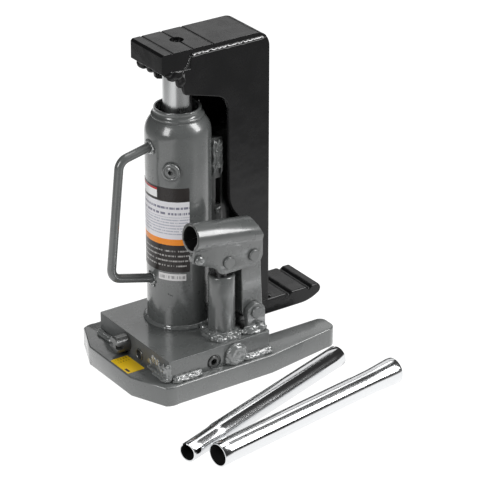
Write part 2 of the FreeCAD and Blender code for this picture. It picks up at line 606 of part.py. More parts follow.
def wrapped_label(name, label, low, tall, span, turn):
    """A thin label that follows the reservoir."""
    spin = FreeCAD.Rotation(V(0, 0, 1), value(turn))
    outer = cylinder(name + "_out", ("0", "0", low), "dim.tank_radius + dim.label_thick", tall, spin)
    bind(outer, Angle=span)
    inner = cylinder(name + "_in", ("0", "0", low + " - 1"), "dim.tank_radius", tall + " + 2")
    return finish(cut(name, outer, [inner]), label)


def labels():
    """The rating label and the small tag below it, both without any words."""
    wrapped_label("Label", "rating_label", "dim.label_bottom", "dim.label_height",
                  "dim.label_span", "dim.label_turn")
    wrapped_label("Tag", "serial_tag", "dim.tag_bottom", "dim.tag_height", "dim.tag_span", "dim.tag_turn")


# ---------------------------------------------------------------- pump

def pump():
    """The pump barrel, its gland, seal and foot weld, and the plunger with its eye."""
    room, wide, tall = "(dim.plunger_radius + dim.slide_gap)", "dim.pump_radius", "dim.pump_height"
    gland = "dim.gland_radius"
    points = [("0", "0"), (wide, "0"), (wide, tall + " - 0.9"), (wide + " - 0.9", tall), (gland, tall),
              (gland, tall + " - dim.gland_deep"), (room, tall + " - dim.gland_deep"),
              (room, "4"), ("0", "4")]
    spot = ("dim.pump_mid", "dim.pump_rear", BLOCK_TOP)
    finish(place(turned("Pump", points), *spot), "pump_cylinder")
    seal = ring("Pump_seal", "dim.plunger_radius + 0.05", gland, "3")
    finish(place(seal, spot[0], spot[1], PUMP_TOP + " - dim.gland_deep"), "plunger_seal")
    cap = ring("Pump_gland", room, gland, "dim.gland_deep - 3.5")
    finish(place(cap, spot[0], spot[1], PUMP_TOP + " - dim.gland_deep + 3"), "pump_gland_ring")
    points = [(wide, "0"), (wide + " + dim.weld_leg", "0", "dim.weld_leg * 1.1"), (wide, "dim.weld_leg")]
    foot = place(turned("Pump_bead", points), *spot)
    tank = cylinder("Pump_bead_clear", ("0", "0", BLOCK_TOP + " - 1"),
                    "dim.tank_radius + dim.weld_leg + 0.02", "dim.weld_leg + 2")
    finish(cut("Pump_bead_cut", foot, [tank]), "pump_foot_weld")
    rod = cylinder("Plunger_rod", (spot[0], spot[1], "dim.plunger_bottom"), "dim.plunger_radius",
                   "dim.pivot_height - dim.plunger_bottom - 2")
    eye = cylinder("Plunger_eye", (spot[0] + " - dim.eye_thick / 2", spot[1], "dim.pivot_height"),
                   "dim.eye_radius", "dim.eye_thick", ALONG_X)
    hole = cylinder("Plunger_hole", (spot[0] + " - dim.eye_thick", spot[1], "dim.pivot_height"),
                    "dim.pin_radius + dim.eye_play", "dim.eye_thick * 2", ALONG_X)
    finish(cut("Plunger", fused("Plunger_blank", [rod, eye]), [hole]), "pump_plunger")


def handle_socket():
    """One folded sheet: a split tube for the handle, and two flanges for the pins."""
    slope = "tan(dim.socket_tilt)"
    high_front = "dim.socket_axis + dim.socket_front * " + slope
    high_rear = "dim.socket_axis - dim.socket_rear * " + slope
    rear = "dim.socket_rear"
    cheek = [("-dim.socket_front", high_front), ("-dim.socket_front - 2.5", "101.5"),
             ("-2.4", "94.2", "-8"), ("1.6", "89.6", "10"), ("9", "87.2"), ("dim.link_rear", "87.2", "9"),
             (rear, "95.5"), (rear, high_rear)]
    cheeks = []
    for name, across in (("Flange_near", "dim.pump_mid + " + FLANGE_IN),
                         ("Flange_far", "dim.pump_mid - dim.flange_out")):
        cheeks.append(place(padded(name, "YZ_Plane", cheek, "dim.sheet", False), across=across))
    tilt = FreeCAD.Rotation(V(1, 0, 0), -90 - value("dim.socket_tilt"))
    spot = ("dim.pump_mid", "-dim.socket_front", high_front)
    length = "(dim.socket_front + dim.socket_rear) / cos(dim.socket_tilt)"
    skin = cylinder("Socket_skin", spot, "dim.socket_bore + dim.sheet", length, tilt)
    solid = fused("Socket_blank", [skin] + cheeks)
    start = ("dim.pump_mid", "-dim.socket_front - 10", high_front + " + 10 * " + slope)
    bore = cylinder("Socket_bore_cut", start,
                    "dim.socket_bore", length + " + 20", tilt)
    gap = box("Socket_gap", ("dim.pump_mid - %s" % FLANGE_IN, "-dim.socket_front - 10", "60"),
              ("2 * " + FLANGE_IN, "dim.socket_front + dim.socket_rear + 20", "dim.socket_axis - 63"))
    lean = FreeCAD.Rotation(V(1, 0, 0), 25)
    trim = box("Socket_trim", ("dim.pump_mid - 20", rear, high_rear), ("40", "20", "30"), lean)
    pins = []
    for name, back, height, radius in (
            ("Hole_a", "dim.pump_rear", "dim.pivot_height", "dim.pin_radius"),
            ("Hole_b", "dim.link_rear", "dim.pivot_height", "dim.pin_radius"),
            ("Hole_c", "-dim.clamp_front", "dim.clamp_height", "dim.clamp_radius")):
        pins.append(cylinder(name, ("dim.pump_mid - 15", back, height), radius, "30", ALONG_X))
    return finish(cut("Socket", solid, [bore, gap, trim] + pins), "handle_socket")


def pin(name, label, back, height, inner, radius):
    """A headed pin across the pump, with its head on the near side."""
    out = inner + " + 0.05"
    points = [("0", "-%s - 2.6" % inner), (radius, "-%s - 2.6" % inner), (radius, out),
              ("dim.pin_head", out), ("dim.pin_head", out + " + dim.head_deep - 0.5"),
              ("dim.pin_head - 0.5", out + " + dim.head_deep"), ("0", out + " + dim.head_deep")]
    body = place(turned(name, points), "dim.pump_mid", back, height, ALONG_X)
    return finish(body, label)


def clip(name, back, height, inner, radius):
    """A spring clip on the far end of a pin."""
    body = ring(name, radius, "(%s) + 2" % radius, "1")
    return place(body, "dim.pump_mid - %s - 1.6" % inner, back, height, ALONG_X)


def pins():
    """The three pivot pins and their clips."""
    out, lug = "dim.flange_out", "(%s + dim.lug_thick)" % LUG_IN
    high, low = "dim.pivot_height", "dim.foot_height"
    pin("Pin_a", "plunger_pin", "dim.pump_rear", high, out, "dim.pin_radius")
    pin("Pin_b", "socket_pin", "dim.link_rear", high, out, "dim.pin_radius")
    pin("Pin_c", "link_pin", "dim.link_foot", low, lug, "dim.pin_radius")
    pair = [clip("Clip_a", "dim.pump_rear", high, out, "dim.pin_radius"),
            clip("Clip_b", "dim.link_rear", high, out, "dim.pin_radius")]
    finish(group("Socket_clips", pair), "socket_pin_clips")
    finish(clip("Clip_c", "dim.link_foot", low, lug, "dim.pin_radius"), "link_pin_clip")


def clamp_screw():
    """The pan-head screw that pinches the socket on the handle, and its nut."""
    out = "dim.flange_out"
    points = [("0", "-%s - 5" % out), ("dim.clamp_radius", "-%s - 5" % out),
              ("dim.clamp_radius", out), ("dim.clamp_head", out), ("dim.clamp_head", out + " + 1.4", "2.2"),
              ("dim.clamp_head - 1.6", out + " + 2.8"), ("0", out + " + 2.8")]
    body = turned("Clamp", points)
    slot = box("Clamp_slot", ("-5", "-0.5", out + " + 1.7"), ("10", "1", "2"))
    piece = cut("Clamp_slotted", body, [slot])
    turn = ALONG_X.multiply(FreeCAD.Rotation(V(0, 0, 1), 35))
    spot = ("dim.pump_mid", "-dim.clamp_front", "dim.clamp_height")
    finish(place(piece, *spot, rotation=turn), "socket_clamp_screw")
    nut = bind(DOC.addObject("Part::Prism", "Clamp_hex"), Circumradius="dim.clamp_radius * 1.8", Height="3.6")
    nut.Polygon = 6
    place(nut, "dim.pump_mid - %s - 3.6" % out, spot[1], spot[2], ALONG_X)
    hole = cylinder("Clamp_hole", ("dim.pump_mid - 20", spot[1], spot[2]), "dim.clamp_radius", "30", ALONG_X)
    finish(cut("Clamp_nut", nut, [hole]), "socket_clamp_nut")


def link():
    """The flat link behind the pump, its washers, and the two lugs it stands in."""
    high, low = "dim.pivot_height", "dim.foot_height"
    top, foot, half = "dim.link_rear", "dim.link_foot", "dim.link_half"
    slim = "(dim.link_half - dim.link_taper)"
    points = [(foot + " + " + half, low), ("%s + %s" % (top, slim), high + " - 1", slim + " + 0.1"),
              ("%s - %s" % (top, slim), high + " - 1"), (foot + " - " + half, low, half + " + 0.1")]
    body = place(padded("Link", "YZ_Plane", points, "dim.link_thick"), across="dim.pump_mid")
    holes = [cylinder("Link_hole_b", ("dim.pump_mid - 15", top, high), "dim.pin_radius", "30", ALONG_X),
             cylinder("Link_hole_c", ("dim.pump_mid - 15", foot, low), "dim.pin_radius", "30", ALONG_X)]
    finish(cut("Link_bored", body, holes), "pump_link")
    spare = FLANGE_IN + " - dim.link_thick / 2 - 0.1"
    washers = []
    for name, across in (("Washer_near", "dim.pump_mid + dim.link_thick / 2 + 0.05"),
                         ("Washer_far", "dim.pump_mid - %s + 0.05" % FLANGE_IN)):
        washer = ring(name, "dim.pin_radius", "dim.pin_radius + 3", spare)
        washers.append(place(washer, across, top, high, ALONG_X))
    finish(group("Washers", washers), "socket_pin_washers")
    half = "dim.lug_half"
    points = [(foot + " + " + half, BLOCK_TOP), (foot + " + " + half, low, half + " + 0.05"),
              (foot + " - " + half, low), (foot + " - " + half, BLOCK_TOP)]
    for name, label, across in (("Lug_near", "link_lug_near", "dim.pump_mid + " + LUG_IN),
                                ("Lug_far", "link_lug_far", "dim.pump_mid - %s - dim.lug_thick" % LUG_IN)):
        body = place(padded(name, "YZ_Plane", points, "dim.lug_thick", False), across=across)
        hole = cylinder(name + "_hole", ("dim.pump_mid - 20", foot, low), "dim.pin_radius", "40", ALONG_X)
        finish(cut(name + "_bored", body, [hole]), label)
    edge = "dim.pump_mid + %s + dim.lug_thick" % LUG_IN
    other = "dim.pump_mid - %s - dim.lug_thick" % LUG_IN
    runs = [bead("Lug_bead_near", (edge, foot + " + " + half, BLOCK_TOP), "2 * " + half, -90),
            bead("Lug_bead_far", (other, foot + " - " + half, BLOCK_TOP), "2 * " + half, 90)]
    finish(group("Lug_beads", runs), "lug_welds")


# ---------------------------------------------------------------- valves and plugs

def release_valve():
    """The release spindle, with a knob that the notched handle end turns, its ring and its ball."""
    face = "-dim.block_front"
    stem = "dim.stem_radius - 0.2"
    points = [("0", "-dim.stem_long"), ("1.6", "-dim.stem_long"), (stem, "-dim.stem_long + 2"),
              (stem, "-7"), ("2.8", "-7"), ("2.8", "-4.6"), (stem, "-4.6"), (stem, "0.4"),
              ("dim.knob_radius", "0.4"),
              ("dim.knob_radius", "dim.knob_long - 1"), ("dim.knob_radius - 1", "dim.knob_long"),
              ("0", "dim.knob_long")]
    body = turned("Spindle", points)
    key = "dim.key_wide"
    tools = []
    for name, side in (("Key_left", "-dim.knob_radius - 1"), ("Key_right", key + " / 2 + 1.2")):
        tools.append(box(name, (side, "-%s / 2" % key, "dim.knob_long - 4.5"), ("6.5", key, "6")))
    piece = cut("Spindle_keyed", body, tools)
    turn = FreeCAD.Rotation(V(1, 0, 0), 90)
    place(piece, "dim.valve_across", face, "dim.valve_height", turn)
    finish(piece, "release_valve_spindle")
    oring = ring("Oring", "2.8", "dim.stem_radius + 0.15", "2.2")
    turned_ring = place(oring, "dim.valve_across", face + " + 4.7", "dim.valve_height", ALONG_Y)
    finish(turned_ring, "release_valve_oring")
    ball = bind(DOC.addObject("Part::Sphere", "Release_ball"), Radius="dim.ball_radius")
    place(ball, "dim.valve_across", face + " + dim.stem_long + dim.ball_radius + 0.1", "dim.valve_height")
    finish(ball, "release_valve_ball")


def spring(name, label, across, back, height):
    """A short closed coil, drawn as a thin sleeve of the coil's own outer size."""
    body = ring(name, "dim.spring_radius - dim.spring_wire * 2", "dim.spring_radius", "dim.spring_long")
    return finish(place(body, across, back, height, ALONG_X), label)


def valve_train(prefix, back, height):
    """A spring and the ball that it loads, in a chamber that opens on the near face."""
    inner = "dim.block_near - dim.relief_long - dim.spring_long"
    spring(prefix.title() + "_spring", prefix + "_spring", inner, back, height)
    ball = bind(DOC.addObject("Part::Sphere", prefix.title() + "_ball"), Radius="dim.ball_radius")
    finish(place(ball, inner + " - dim.ball_radius - 0.1", back, height), prefix + "_ball")


def plugs():
    """The relief screw and delivery boss on the near face, and the intake plug on the front."""
    back, height = "-dim.relief_front", "dim.relief_height"
    valve_train("relief", back, height)
    fit, long = "dim.relief_radius - 0.1", "dim.relief_long"
    points = [("0", "0"), (fit, "0"), (fit, long + " - 0.8"), (fit + " - 0.7", long), ("0", long)]
    body = turned("Relief", points)
    hexagon = bind(DOC.addObject("Part::Prism", "Relief_hex"), Circumradius="2.9", Height="6")
    hexagon.Polygon = 6
    place(hexagon, height="dim.relief_long - 4")
    piece = cut("Relief_screw", body, [hexagon])
    place(piece, "dim.block_near - dim.relief_long", back, height, ALONG_X)
    finish(piece, "relief_screw")
    back, height = "dim.boss_rear", "dim.boss_height"
    valve_train("delivery", back, height)
    points = [("0", "-8"), ("dim.boss_radius - 3.1", "-8"), ("dim.boss_radius - 3.1", "0.05"),
              ("dim.boss_radius", "0.05"), ("dim.boss_radius", "dim.boss_proud - 1.2", "1.4"),
              ("dim.boss_radius - 1.2", "dim.boss_proud"), ("0", "dim.boss_proud")]
    finish(place(turned("Boss", points), "dim.block_near", back, height, ALONG_X), "delivery_plug")
    points = [("0", "0"), ("dim.intake_radius - 0.1", "0"), ("dim.intake_radius - 0.1", "7.5"),
              ("2.2", "7.5"), ("2.2", "5"), ("0", "5")]
    body = place(turned("Intake", points), "dim.intake_across", "-dim.block_front + 8.5", "dim.intake_height",
                 FreeCAD.Rotation(V(1, 0, 0), 90))
    finish(body, "intake_plug")


# ---------------------------------------------------------------- handle tubes

def flat_turn(turn, lift):
    """Lays an upright piece down, pointing to +Y, turned to the far side and lifted at its end."""
    return FreeCAD.Rotation(V(0, 0, 1), turn).multiply(FreeCAD.Rotation(V(1, 0, 0), -90 + lift))


def handle_tubes():
    """The two halves of the pump handle, lying beside the jack."""
    out, wall, long = "dim.tube_radius", "dim.tube_wall", "dim.tube_long"
    wide, flare = "dim.flare_radius", "dim.flare_long"
    points = [(out, "0"), (out, "%s - %s" % (long, flare)), (wide, long + " - 4"), (wide, long),
              (wide + " - " + wall, long), (wide + " - " + wall, long + " - 4"),
              (out + " - " + wall, "%s - %s" % (long, flare)), (out + " - " + wall, "0")]
    lift = math.degrees(math.asin((value(wide) - value(out)) / (value(long) - 4)))
    body = place(turned("Upper_tube", points), "dim.tube_near", "-dim.tube_front", out,
                 flat_turn(value("dim.tube_turn"), lift))
    finish(body, "handle_tube_upper")
    out, wall, long = "dim.bar_radius", "dim.bar_wall", "dim.bar_long"
    slim, swage = "dim.swage_radius", "dim.swage_long"
    points = [(slim, "0"), (slim + " + 0.5", swage + " - 2"), (out, swage + " + 1"), (out, long),
              (out + " - " + wall, long), (out + " - " + wall, swage + " + 1"),
              (slim + " + 0.5 - " + wall, swage + " - 2"), (slim + " - " + wall, "0")]
    body = turned("Lower_tube", points)
    spot = ("-dim.notch_wide / 2", "0", "-1")
    slot = box("Lower_notch", spot, ("dim.notch_wide", "dim.bar_radius * 2", "dim.notch_deep + 1"))
    piece = cut("Lower_notched", body, [slot])
    spin = FreeCAD.Rotation(V(0, 0, 1), value("dim.notch_turn"))
    turn = flat_turn(value("dim.bar_turn"), 0).multiply(spin)
    place(piece, "dim.bar_near", "-dim.bar_front", out, turn)
    finish(piece, "handle_tube_lower")


# ---------------------------------------------------------------- build, check and write

def build():
    """Makes every sub-part."""
    base_plate()
    base_sticker()
    pump_block()
    block_welds()
    reservoir_tube()
    reservoir_weld()
    barrel_parts()
    ram_parts()
    claw_head()
    claw_plates()
    claw_toe()
    claw_welds()
    guide()
    carry_handle()
    filler_plug()
    labels()
    pump()
    handle_socket()
    pins()
    clamp_screw()
    link()
    release_valve()
    plugs()
    handle_tubes()


def check_and_write():
    """Refuses a failed object or a poor shape, then writes one file for each sub-part."""
    DOC.recompute()
    failed = [thing.Label for thing in DOC.Objects if {"Invalid", "Error"} & set(thing.State)]
    if failed:
        raise ValueError("failed objects: " + ", ".join(failed))
    for thing in NODES:
        if thing.Shape.isNull() or not thing.Shape.isValid() or not thing.Shape.Solids:
            raise ValueError("poor shape: " + thing.Label)
    os.makedirs("parts", exist_ok=True)
    for thing in NODES:
        thing.Shape.exportStep("parts/%s.step" % thing.Label)
        print("%-24s %d solid(s) %10.1f mm3" % (thing.Label, len(thing.Shape.Solids), thing.Shape.Volume))
    print(len(NODES), "sub-parts")


build()
check_and_write()
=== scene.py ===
import math
import random

import bmesh
import bpy
from mathutils import Matrix, Vector, noise


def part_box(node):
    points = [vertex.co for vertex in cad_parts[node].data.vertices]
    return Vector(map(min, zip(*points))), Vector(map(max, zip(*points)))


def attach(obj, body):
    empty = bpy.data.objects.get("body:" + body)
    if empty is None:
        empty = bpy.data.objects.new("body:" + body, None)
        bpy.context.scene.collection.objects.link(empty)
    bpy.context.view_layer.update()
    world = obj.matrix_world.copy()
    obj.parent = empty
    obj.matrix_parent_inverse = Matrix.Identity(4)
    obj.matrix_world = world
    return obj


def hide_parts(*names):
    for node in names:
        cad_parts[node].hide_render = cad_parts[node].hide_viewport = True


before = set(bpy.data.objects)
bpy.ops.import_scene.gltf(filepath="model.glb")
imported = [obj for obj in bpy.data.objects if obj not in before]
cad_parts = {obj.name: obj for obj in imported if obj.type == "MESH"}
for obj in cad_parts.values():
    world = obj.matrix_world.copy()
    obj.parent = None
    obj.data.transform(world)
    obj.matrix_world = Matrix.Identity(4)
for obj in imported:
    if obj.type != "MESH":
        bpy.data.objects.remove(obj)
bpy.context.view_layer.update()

MM = 0.001
AXIS_X = Matrix.Rotation(math.radians(90), 4, "Y")
AXIS_FRONT = Matrix.Rotation(math.radians(90), 4, "X")


def extent(node, axis, end):
    """How far a CAD node reaches along an axis in millimetres, at its low end, 0, or its high end, 1."""
    return round(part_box(node)[end][axis] / MM, 2)


PLATE_TOP = extent("base_plate", 2, 1)
BLOCK_TOP = extent("pump_block", 2, 1)
BLOCK_NEAR = extent("pump_block", 0, 1)
TANK_RADIUS = extent("reservoir_tube", 0, 1)
TANK_RIM = extent("reservoir_tube", 2, 1)
CLAW_HALF = extent("claw_cheek_near", 0, 1)
HEAD_FOOT = extent("claw_head_plate", 2, 0)
PUMP_RADIUS = 10.3
PUMP = (round(extent("pump_cylinder", 0, 1) - PUMP_RADIUS, 1), 10.2)
PLUG_HEIGHT = 164.0
PLUG_TURN = math.radians(-45.0)
SOCKET_AXIS = 117.0
SOCKET_SLOPE = math.radians(8.0)
UPPER_HEADING = math.radians(8.7)
LOWER_HEADING = math.radians(17.9)


# ---------------------------------------------------------------- camera

def camera():
    """A long lens, a little above the jack, on the side that carries the pump."""
    around, above = math.radians(55.58), math.radians(25.93)
    lens = bpy.data.cameras.new("camera")
    lens.sensor_width = 36.0
    lens.lens = 36.0 * 2564.0 / 485.0
    lens.clip_end = 50.0
    view = bpy.data.objects.new("camera", lens)
    bpy.context.scene.collection.objects.link(view)
    back = Vector((math.sin(around) * math.cos(above), -math.cos(around) * math.cos(above), math.sin(above)))
    right = Vector((math.cos(around), math.sin(around), 0.0))
    turn = Matrix((right, back.cross(right), back)).transposed().to_4x4()
    turn.translation = Vector((1.4653, -0.9459, 0.9421))
    view.matrix_world = turn
    bpy.context.scene.camera = view


# ---------------------------------------------------------------- finishes

class Finish:
    """A material and the nodes that give it its detail, read in the jack's own coordinates."""

    def __init__(self, name, colour, metallic=0.0, roughness=0.4, coat=0.0, coat_roughness=0.1, specular=0.5):
        self.material = bpy.data.materials.new(name)
        self.material.use_nodes = True
        self.tree = self.material.node_tree
        self.surface = self.tree.nodes["Principled BSDF"]
        self.socket("Base Color").default_value = (*colour, 1.0)
        self.socket("Metallic").default_value = metallic
        self.socket("Roughness").default_value = roughness
        self.socket("Coat Weight").default_value = coat
        self.socket("Coat Roughness").default_value = coat_roughness
        self.socket("Specular IOR Level").default_value = specular
        self.place = self.node("ShaderNodeTexCoord").outputs["Object"]
        self.normal = None

    def socket(self, name):
        return self.surface.inputs[name]

    def node(self, kind, **values):
        made = self.tree.nodes.new(kind)
        for name, value in values.items():
            setattr(made, name, value)
        return made

    def join(self, source, target):
        self.tree.links.new(source, target)

    def noise(self, scale, detail=3.0, rough=0.5, stretch=None, turn=(0.0, 0.0, 0.0)):
        """Cloudy noise, stretched by different scales along X, Y and Z."""
        spot = self.place
        if stretch:
            mapping = self.node("ShaderNodeMapping")
            mapping.vector_type = "TEXTURE"
            mapping.inputs["Rotation"].default_value = turn
            mapping.inputs["Scale"].default_value = stretch
            self.join(spot, mapping.inputs["Vector"])
            spot = mapping.outputs["Vector"]
        texture = self.node("ShaderNodeTexNoise")
        texture.inputs["Scale"].default_value = scale
        texture.inputs["Detail"].default_value = detail
        texture.inputs["Roughness"].default_value = rough
        self.join(spot, texture.inputs["Vector"])
        return texture.outputs["Fac"]

    def between(self, factor, low, high, start=0.3, end=0.7):
        """The factor, spread between two values."""
        spread = self.node("ShaderNodeMapRange")
        spread.inputs["From Min"].default_value = start
        spread.inputs["From Max"].default_value = end
        spread.inputs["To Min"].default_value = low
        spread.inputs["To Max"].default_value = high
        self.join(factor, spread.inputs["Value"])
        return spread.outputs["Result"]

    def mix(self, factor, first, second):
        """Two colours, or two colour outputs, mixed by a factor."""
        mixed = self.node("ShaderNodeMix", data_type="RGBA")
        self.join(factor, mixed.inputs[0])
        for socket, colour in ((mixed.inputs[6], first), (mixed.inputs[7], second)):
            if isinstance(colour, tuple):
                socket.default_value = (*colour, 1.0)
            else:
                self.join(colour, socket)
        return mixed.outputs[2]

    def sum(self, first, second, operation="ADD"):
        """Arithmetic on outputs or numbers."""
        made = self.node("ShaderNodeMath", operation=operation)
        for socket, value in zip(made.inputs, (first, second)):
            if isinstance(value, (int, float)):
                socket.default_value = value
            else:
                self.join(value, socket)
        return made.outputs[0]

    def tint(self, output):
        self.join(output, self.socket("Base Color"))
        return self

    def dull(self, low, high, scale, stretch=None, turn=(0.0, 0.0, 0.0)):
        """Roughness that varies over the surface."""
        cloud = self.noise(scale, 4.0, 0.6, stretch, turn)
        self.join(self.between(cloud, low, high), self.socket("Roughness"))
        return self

    def bump(self, factor, distance):
        """Height in metres, added to what is there."""
        made = self.node("ShaderNodeBump")
        made.inputs["Distance"].default_value = distance
        self.join(factor, made.inputs["Height"])
        if self.normal is not None:
            self.join(self.normal, made.inputs["Normal"])
        self.normal = made.outputs["Normal"]
        self.join(self.normal, self.socket("Normal"))
        return self


def enamel(name, light, dark, gloss, peel, coat=0.6, specular=0.5):
    """Sprayed enamel: a little uneven in colour and orange-peeled."""
    paint = Finish(name, light, roughness=gloss, coat=coat, coat_roughness=0.12, specular=specular)
    paint.tint(paint.mix(paint.between(paint.noise(28.0, 4.0), 0.0, 1.0), dark, light))
    paint.dull(gloss - 0.06, gloss + 0.1, 55.0)
    paint.bump(paint.noise(70.0, 2.0), 0.00035 * peel)
    paint.bump(paint.noise(650.0, 2.0), 0.00003 * peel)
    return paint.material


def plated(name, colour, rough, turn, stretch=(1.0, 40.0, 1.0), streak=0.00002):
    """Bright plating with fine lines drawn along the piece and small ripples."""
    metal = Finish(name, colour, metallic=1.0, roughness=rough)
    low = tuple(0.86 * part for part in colour)
    metal.tint(metal.mix(metal.between(metal.noise(60.0, 5.0, 0.6, stretch, turn), 0.0, 1.0), low, colour))
    metal.dull(rough - 0.05, rough + 0.09, 240.0, stretch, turn)
    metal.bump(metal.noise(420.0, 3.0, 0.6, stretch, turn), streak)
    metal.bump(metal.noise(38.0, 2.0), 0.00007)
    return metal.material


def machined(name, colour, rough):
    """Turned or ground steel."""
    metal = Finish(name, colour, metallic=1.0, roughness=rough)
    low = tuple(0.75 * part for part in colour)
    metal.tint(metal.mix(metal.between(metal.noise(180.0, 4.0), 0.0, 1.0), low, colour))
    metal.dull(rough - 0.08, rough + 0.1, 320.0)
    metal.bump(metal.noise(1200.0, 3.0, 0.6, (1.0, 1.0, 0.05)), 0.000015)
    return metal.material


def rubber(name, colour):
    """Moulded black rubber."""
    soft = Finish(name, colour, roughness=0.55, specular=0.4)
    low = tuple(0.6 * part for part in colour)
    soft.tint(soft.mix(soft.between(soft.noise(240.0), 0.0, 1.0), low, colour))
    soft.dull(0.45, 0.7, 300.0)
    soft.bump(soft.noise(1400.0, 3.0), 0.00004)
    return soft.material


def label_vinyl():
    """The rating label: plain bands of colour and rows of short grey dashes, with no words."""
    vinyl = Finish("label_vinyl", (0.8, 0.8, 0.8), roughness=0.4, coat=0.1, specular=0.3)
    parts = vinyl.node("ShaderNodeSeparateXYZ")
    vinyl.join(vinyl.place, parts.inputs[0])
    around = vinyl.sum(parts.outputs["Y"], parts.outputs["X"], "ARCTAN2")
    across = vinyl.sum(around, TANK_RADIUS, "MULTIPLY")
    height = vinyl.sum(parts.outputs["Z"], 1000.0, "MULTIPLY")

    def above(edge):
        return vinyl.sum(height, edge, "GREATER_THAN")

    def inside(low, high):
        return vinyl.sum(above(low), vinyl.sum(height, high, "LESS_THAN"), "MULTIPLY")

    def dashes(pitch, duty, scale, least):
        row = vinyl.sum(vinyl.sum(height, pitch, "DIVIDE"), 1.0, "MODULO")
        level = vinyl.sum(vinyl.sum(height, pitch, "DIVIDE"), 0.0, "FLOOR")
        spot = vinyl.node("ShaderNodeCombineXYZ")
        vinyl.join(vinyl.sum(across, scale, "MULTIPLY"), spot.inputs[0])
        vinyl.join(vinyl.sum(level, 7.31, "MULTIPLY"), spot.inputs[1])
        cloud = vinyl.node("ShaderNodeTexNoise")
        cloud.inputs["Scale"].default_value = 1.0
        cloud.inputs["Detail"].default_value = 1.0
        vinyl.join(spot.outputs[0], cloud.inputs["Vector"])
        inked = vinyl.sum(cloud.outputs["Fac"], least, "GREATER_THAN")
        return vinyl.sum(vinyl.sum(row, duty, "LESS_THAN"), inked, "MULTIPLY")

    white, dark, orange = (0.74, 0.73, 0.76), (0.022, 0.018, 0.017), (0.86, 0.27, 0.02)
    small, large = dashes(2.3, 0.42, 1.7, 0.4), dashes(4.6, 0.4, 0.8, 0.46)
    colour = vinyl.mix(vinyl.sum(small, inside(111.5, 127.0), "MULTIPLY"), white, (0.42, 0.43, 0.5))
    colour = vinyl.mix(vinyl.sum(large, inside(127.5, 137.8), "MULTIPLY"), colour, (0.2, 0.2, 0.26))
    colour = vinyl.mix(inside(103.9, 108.9), colour, orange)
    colour = vinyl.mix(vinyl.sum(103.9, height, "GREATER_THAN"), colour, dark)
    rows = vinyl.sum(dashes(4.1, 0.3, 1.3, 0.47), inside(85.5, 101.5), "MULTIPLY")
    colour = vinyl.mix(rows, colour, (0.4, 0.39, 0.38))
    colour = vinyl.mix(above(139.4), colour, dark)
    badge = vinyl.sum(inside(141.4, 149.2), vinyl.sum(across, -31.5, "LESS_THAN"), "MULTIPLY")
    colour = vinyl.mix(badge, colour, (0.8, 0.8, 0.8))
    band = vinyl.sum(inside(147.6, 149.2), vinyl.sum(across, -31.5, "LESS_THAN"), "MULTIPLY")
    colour = vinyl.mix(band, colour, (0.45, 0.02, 0.02))
    vinyl.tint(colour)
    vinyl.dull(0.24, 0.36, 90.0)
    vinyl.bump(vinyl.noise(60.0, 2.0), 0.00025)
    return vinyl.material


def tag_vinyl():
    """The small white tag, with one row of grey dashes."""
    vinyl = Finish("tag_vinyl", (0.7, 0.7, 0.7), roughness=0.4, coat=0.2)
    parts = vinyl.node("ShaderNodeSeparateXYZ")
    vinyl.join(vinyl.place, parts.inputs[0])
    height = vinyl.sum(parts.outputs["Z"], 1000.0, "MULTIPLY")
    middle = vinyl.sum(vinyl.sum(vinyl.sum(height, -77.2), 0.0, "ABSOLUTE"), 1.2, "LESS_THAN")
    cloud = vinyl.between(vinyl.noise(900.0, 1.0, 0.5, (1.0, 1.0, 30.0)), 0.0, 1.0, 0.5, 0.51)
    marks = vinyl.sum(middle, cloud, "MULTIPLY")
    vinyl.tint(vinyl.mix(marks, (0.66, 0.65, 0.65), (0.3, 0.3, 0.3)))
    vinyl.dull(0.32, 0.5, 120.0)
    vinyl.bump(vinyl.noise(90.0), 0.0002)
    return vinyl.material


def sticker_vinyl():
    """The yellow sticker on the nose of the plate, with a few plain dark dashes."""
    vinyl = Finish("sticker_vinyl", (0.7, 0.5, 0.02), roughness=0.35, coat=0.3)
    low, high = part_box("base_sticker")
    mapping = vinyl.node("ShaderNodeMapping")
    mapping.inputs["Location"].default_value = (-low[0], -low[1], 0.0)
    vinyl.join(vinyl.place, mapping.inputs["Vector"])
    parts = vinyl.node("ShaderNodeSeparateXYZ")
    vinyl.join(mapping.outputs["Vector"], parts.inputs[0])
    across = vinyl.sum(parts.outputs["X"], 1000.0, "MULTIPLY")
    along = vinyl.sum(parts.outputs["Y"], 1000.0, "MULTIPLY")
    row = vinyl.sum(vinyl.sum(vinyl.sum(along, 2.4, "DIVIDE"), 1.0, "MODULO"), 0.38, "LESS_THAN")
    cloud = vinyl.between(vinyl.noise(260.0, 1.0, 0.5, (1.0, 12.0, 1.0)), 0.0, 1.0, 0.5, 0.52)
    part = vinyl.sum(vinyl.sum(across, 13.0, "LESS_THAN"), vinyl.sum(along, 3.0, "GREATER_THAN"), "MULTIPLY")
    marks = vinyl.sum(vinyl.sum(row, cloud, "MULTIPLY"), part, "MULTIPLY")
    colour = vinyl.mix(marks, (0.86, 0.56, 0.012), (0.3, 0.18, 0.01))
    right, left = vinyl.sum(across, 17.5, "GREATER_THAN"), vinyl.sum(across, 23.0, "LESS_THAN")
    under, over = vinyl.sum(along, 3.4, "LESS_THAN"), vinyl.sum(along, 1.4, "GREATER_THAN")
    corner = vinyl.sum(right, under, "MULTIPLY")
    edge = vinyl.sum(left, over, "MULTIPLY")
    vinyl.tint(vinyl.mix(vinyl.sum(corner, edge, "MULTIPLY"), colour, (0.05, 0.03, 0.02)))
    vinyl.dull(0.3, 0.45, 150.0)
    vinyl.bump(vinyl.noise(70.0), 0.0004)
    return vinyl.material


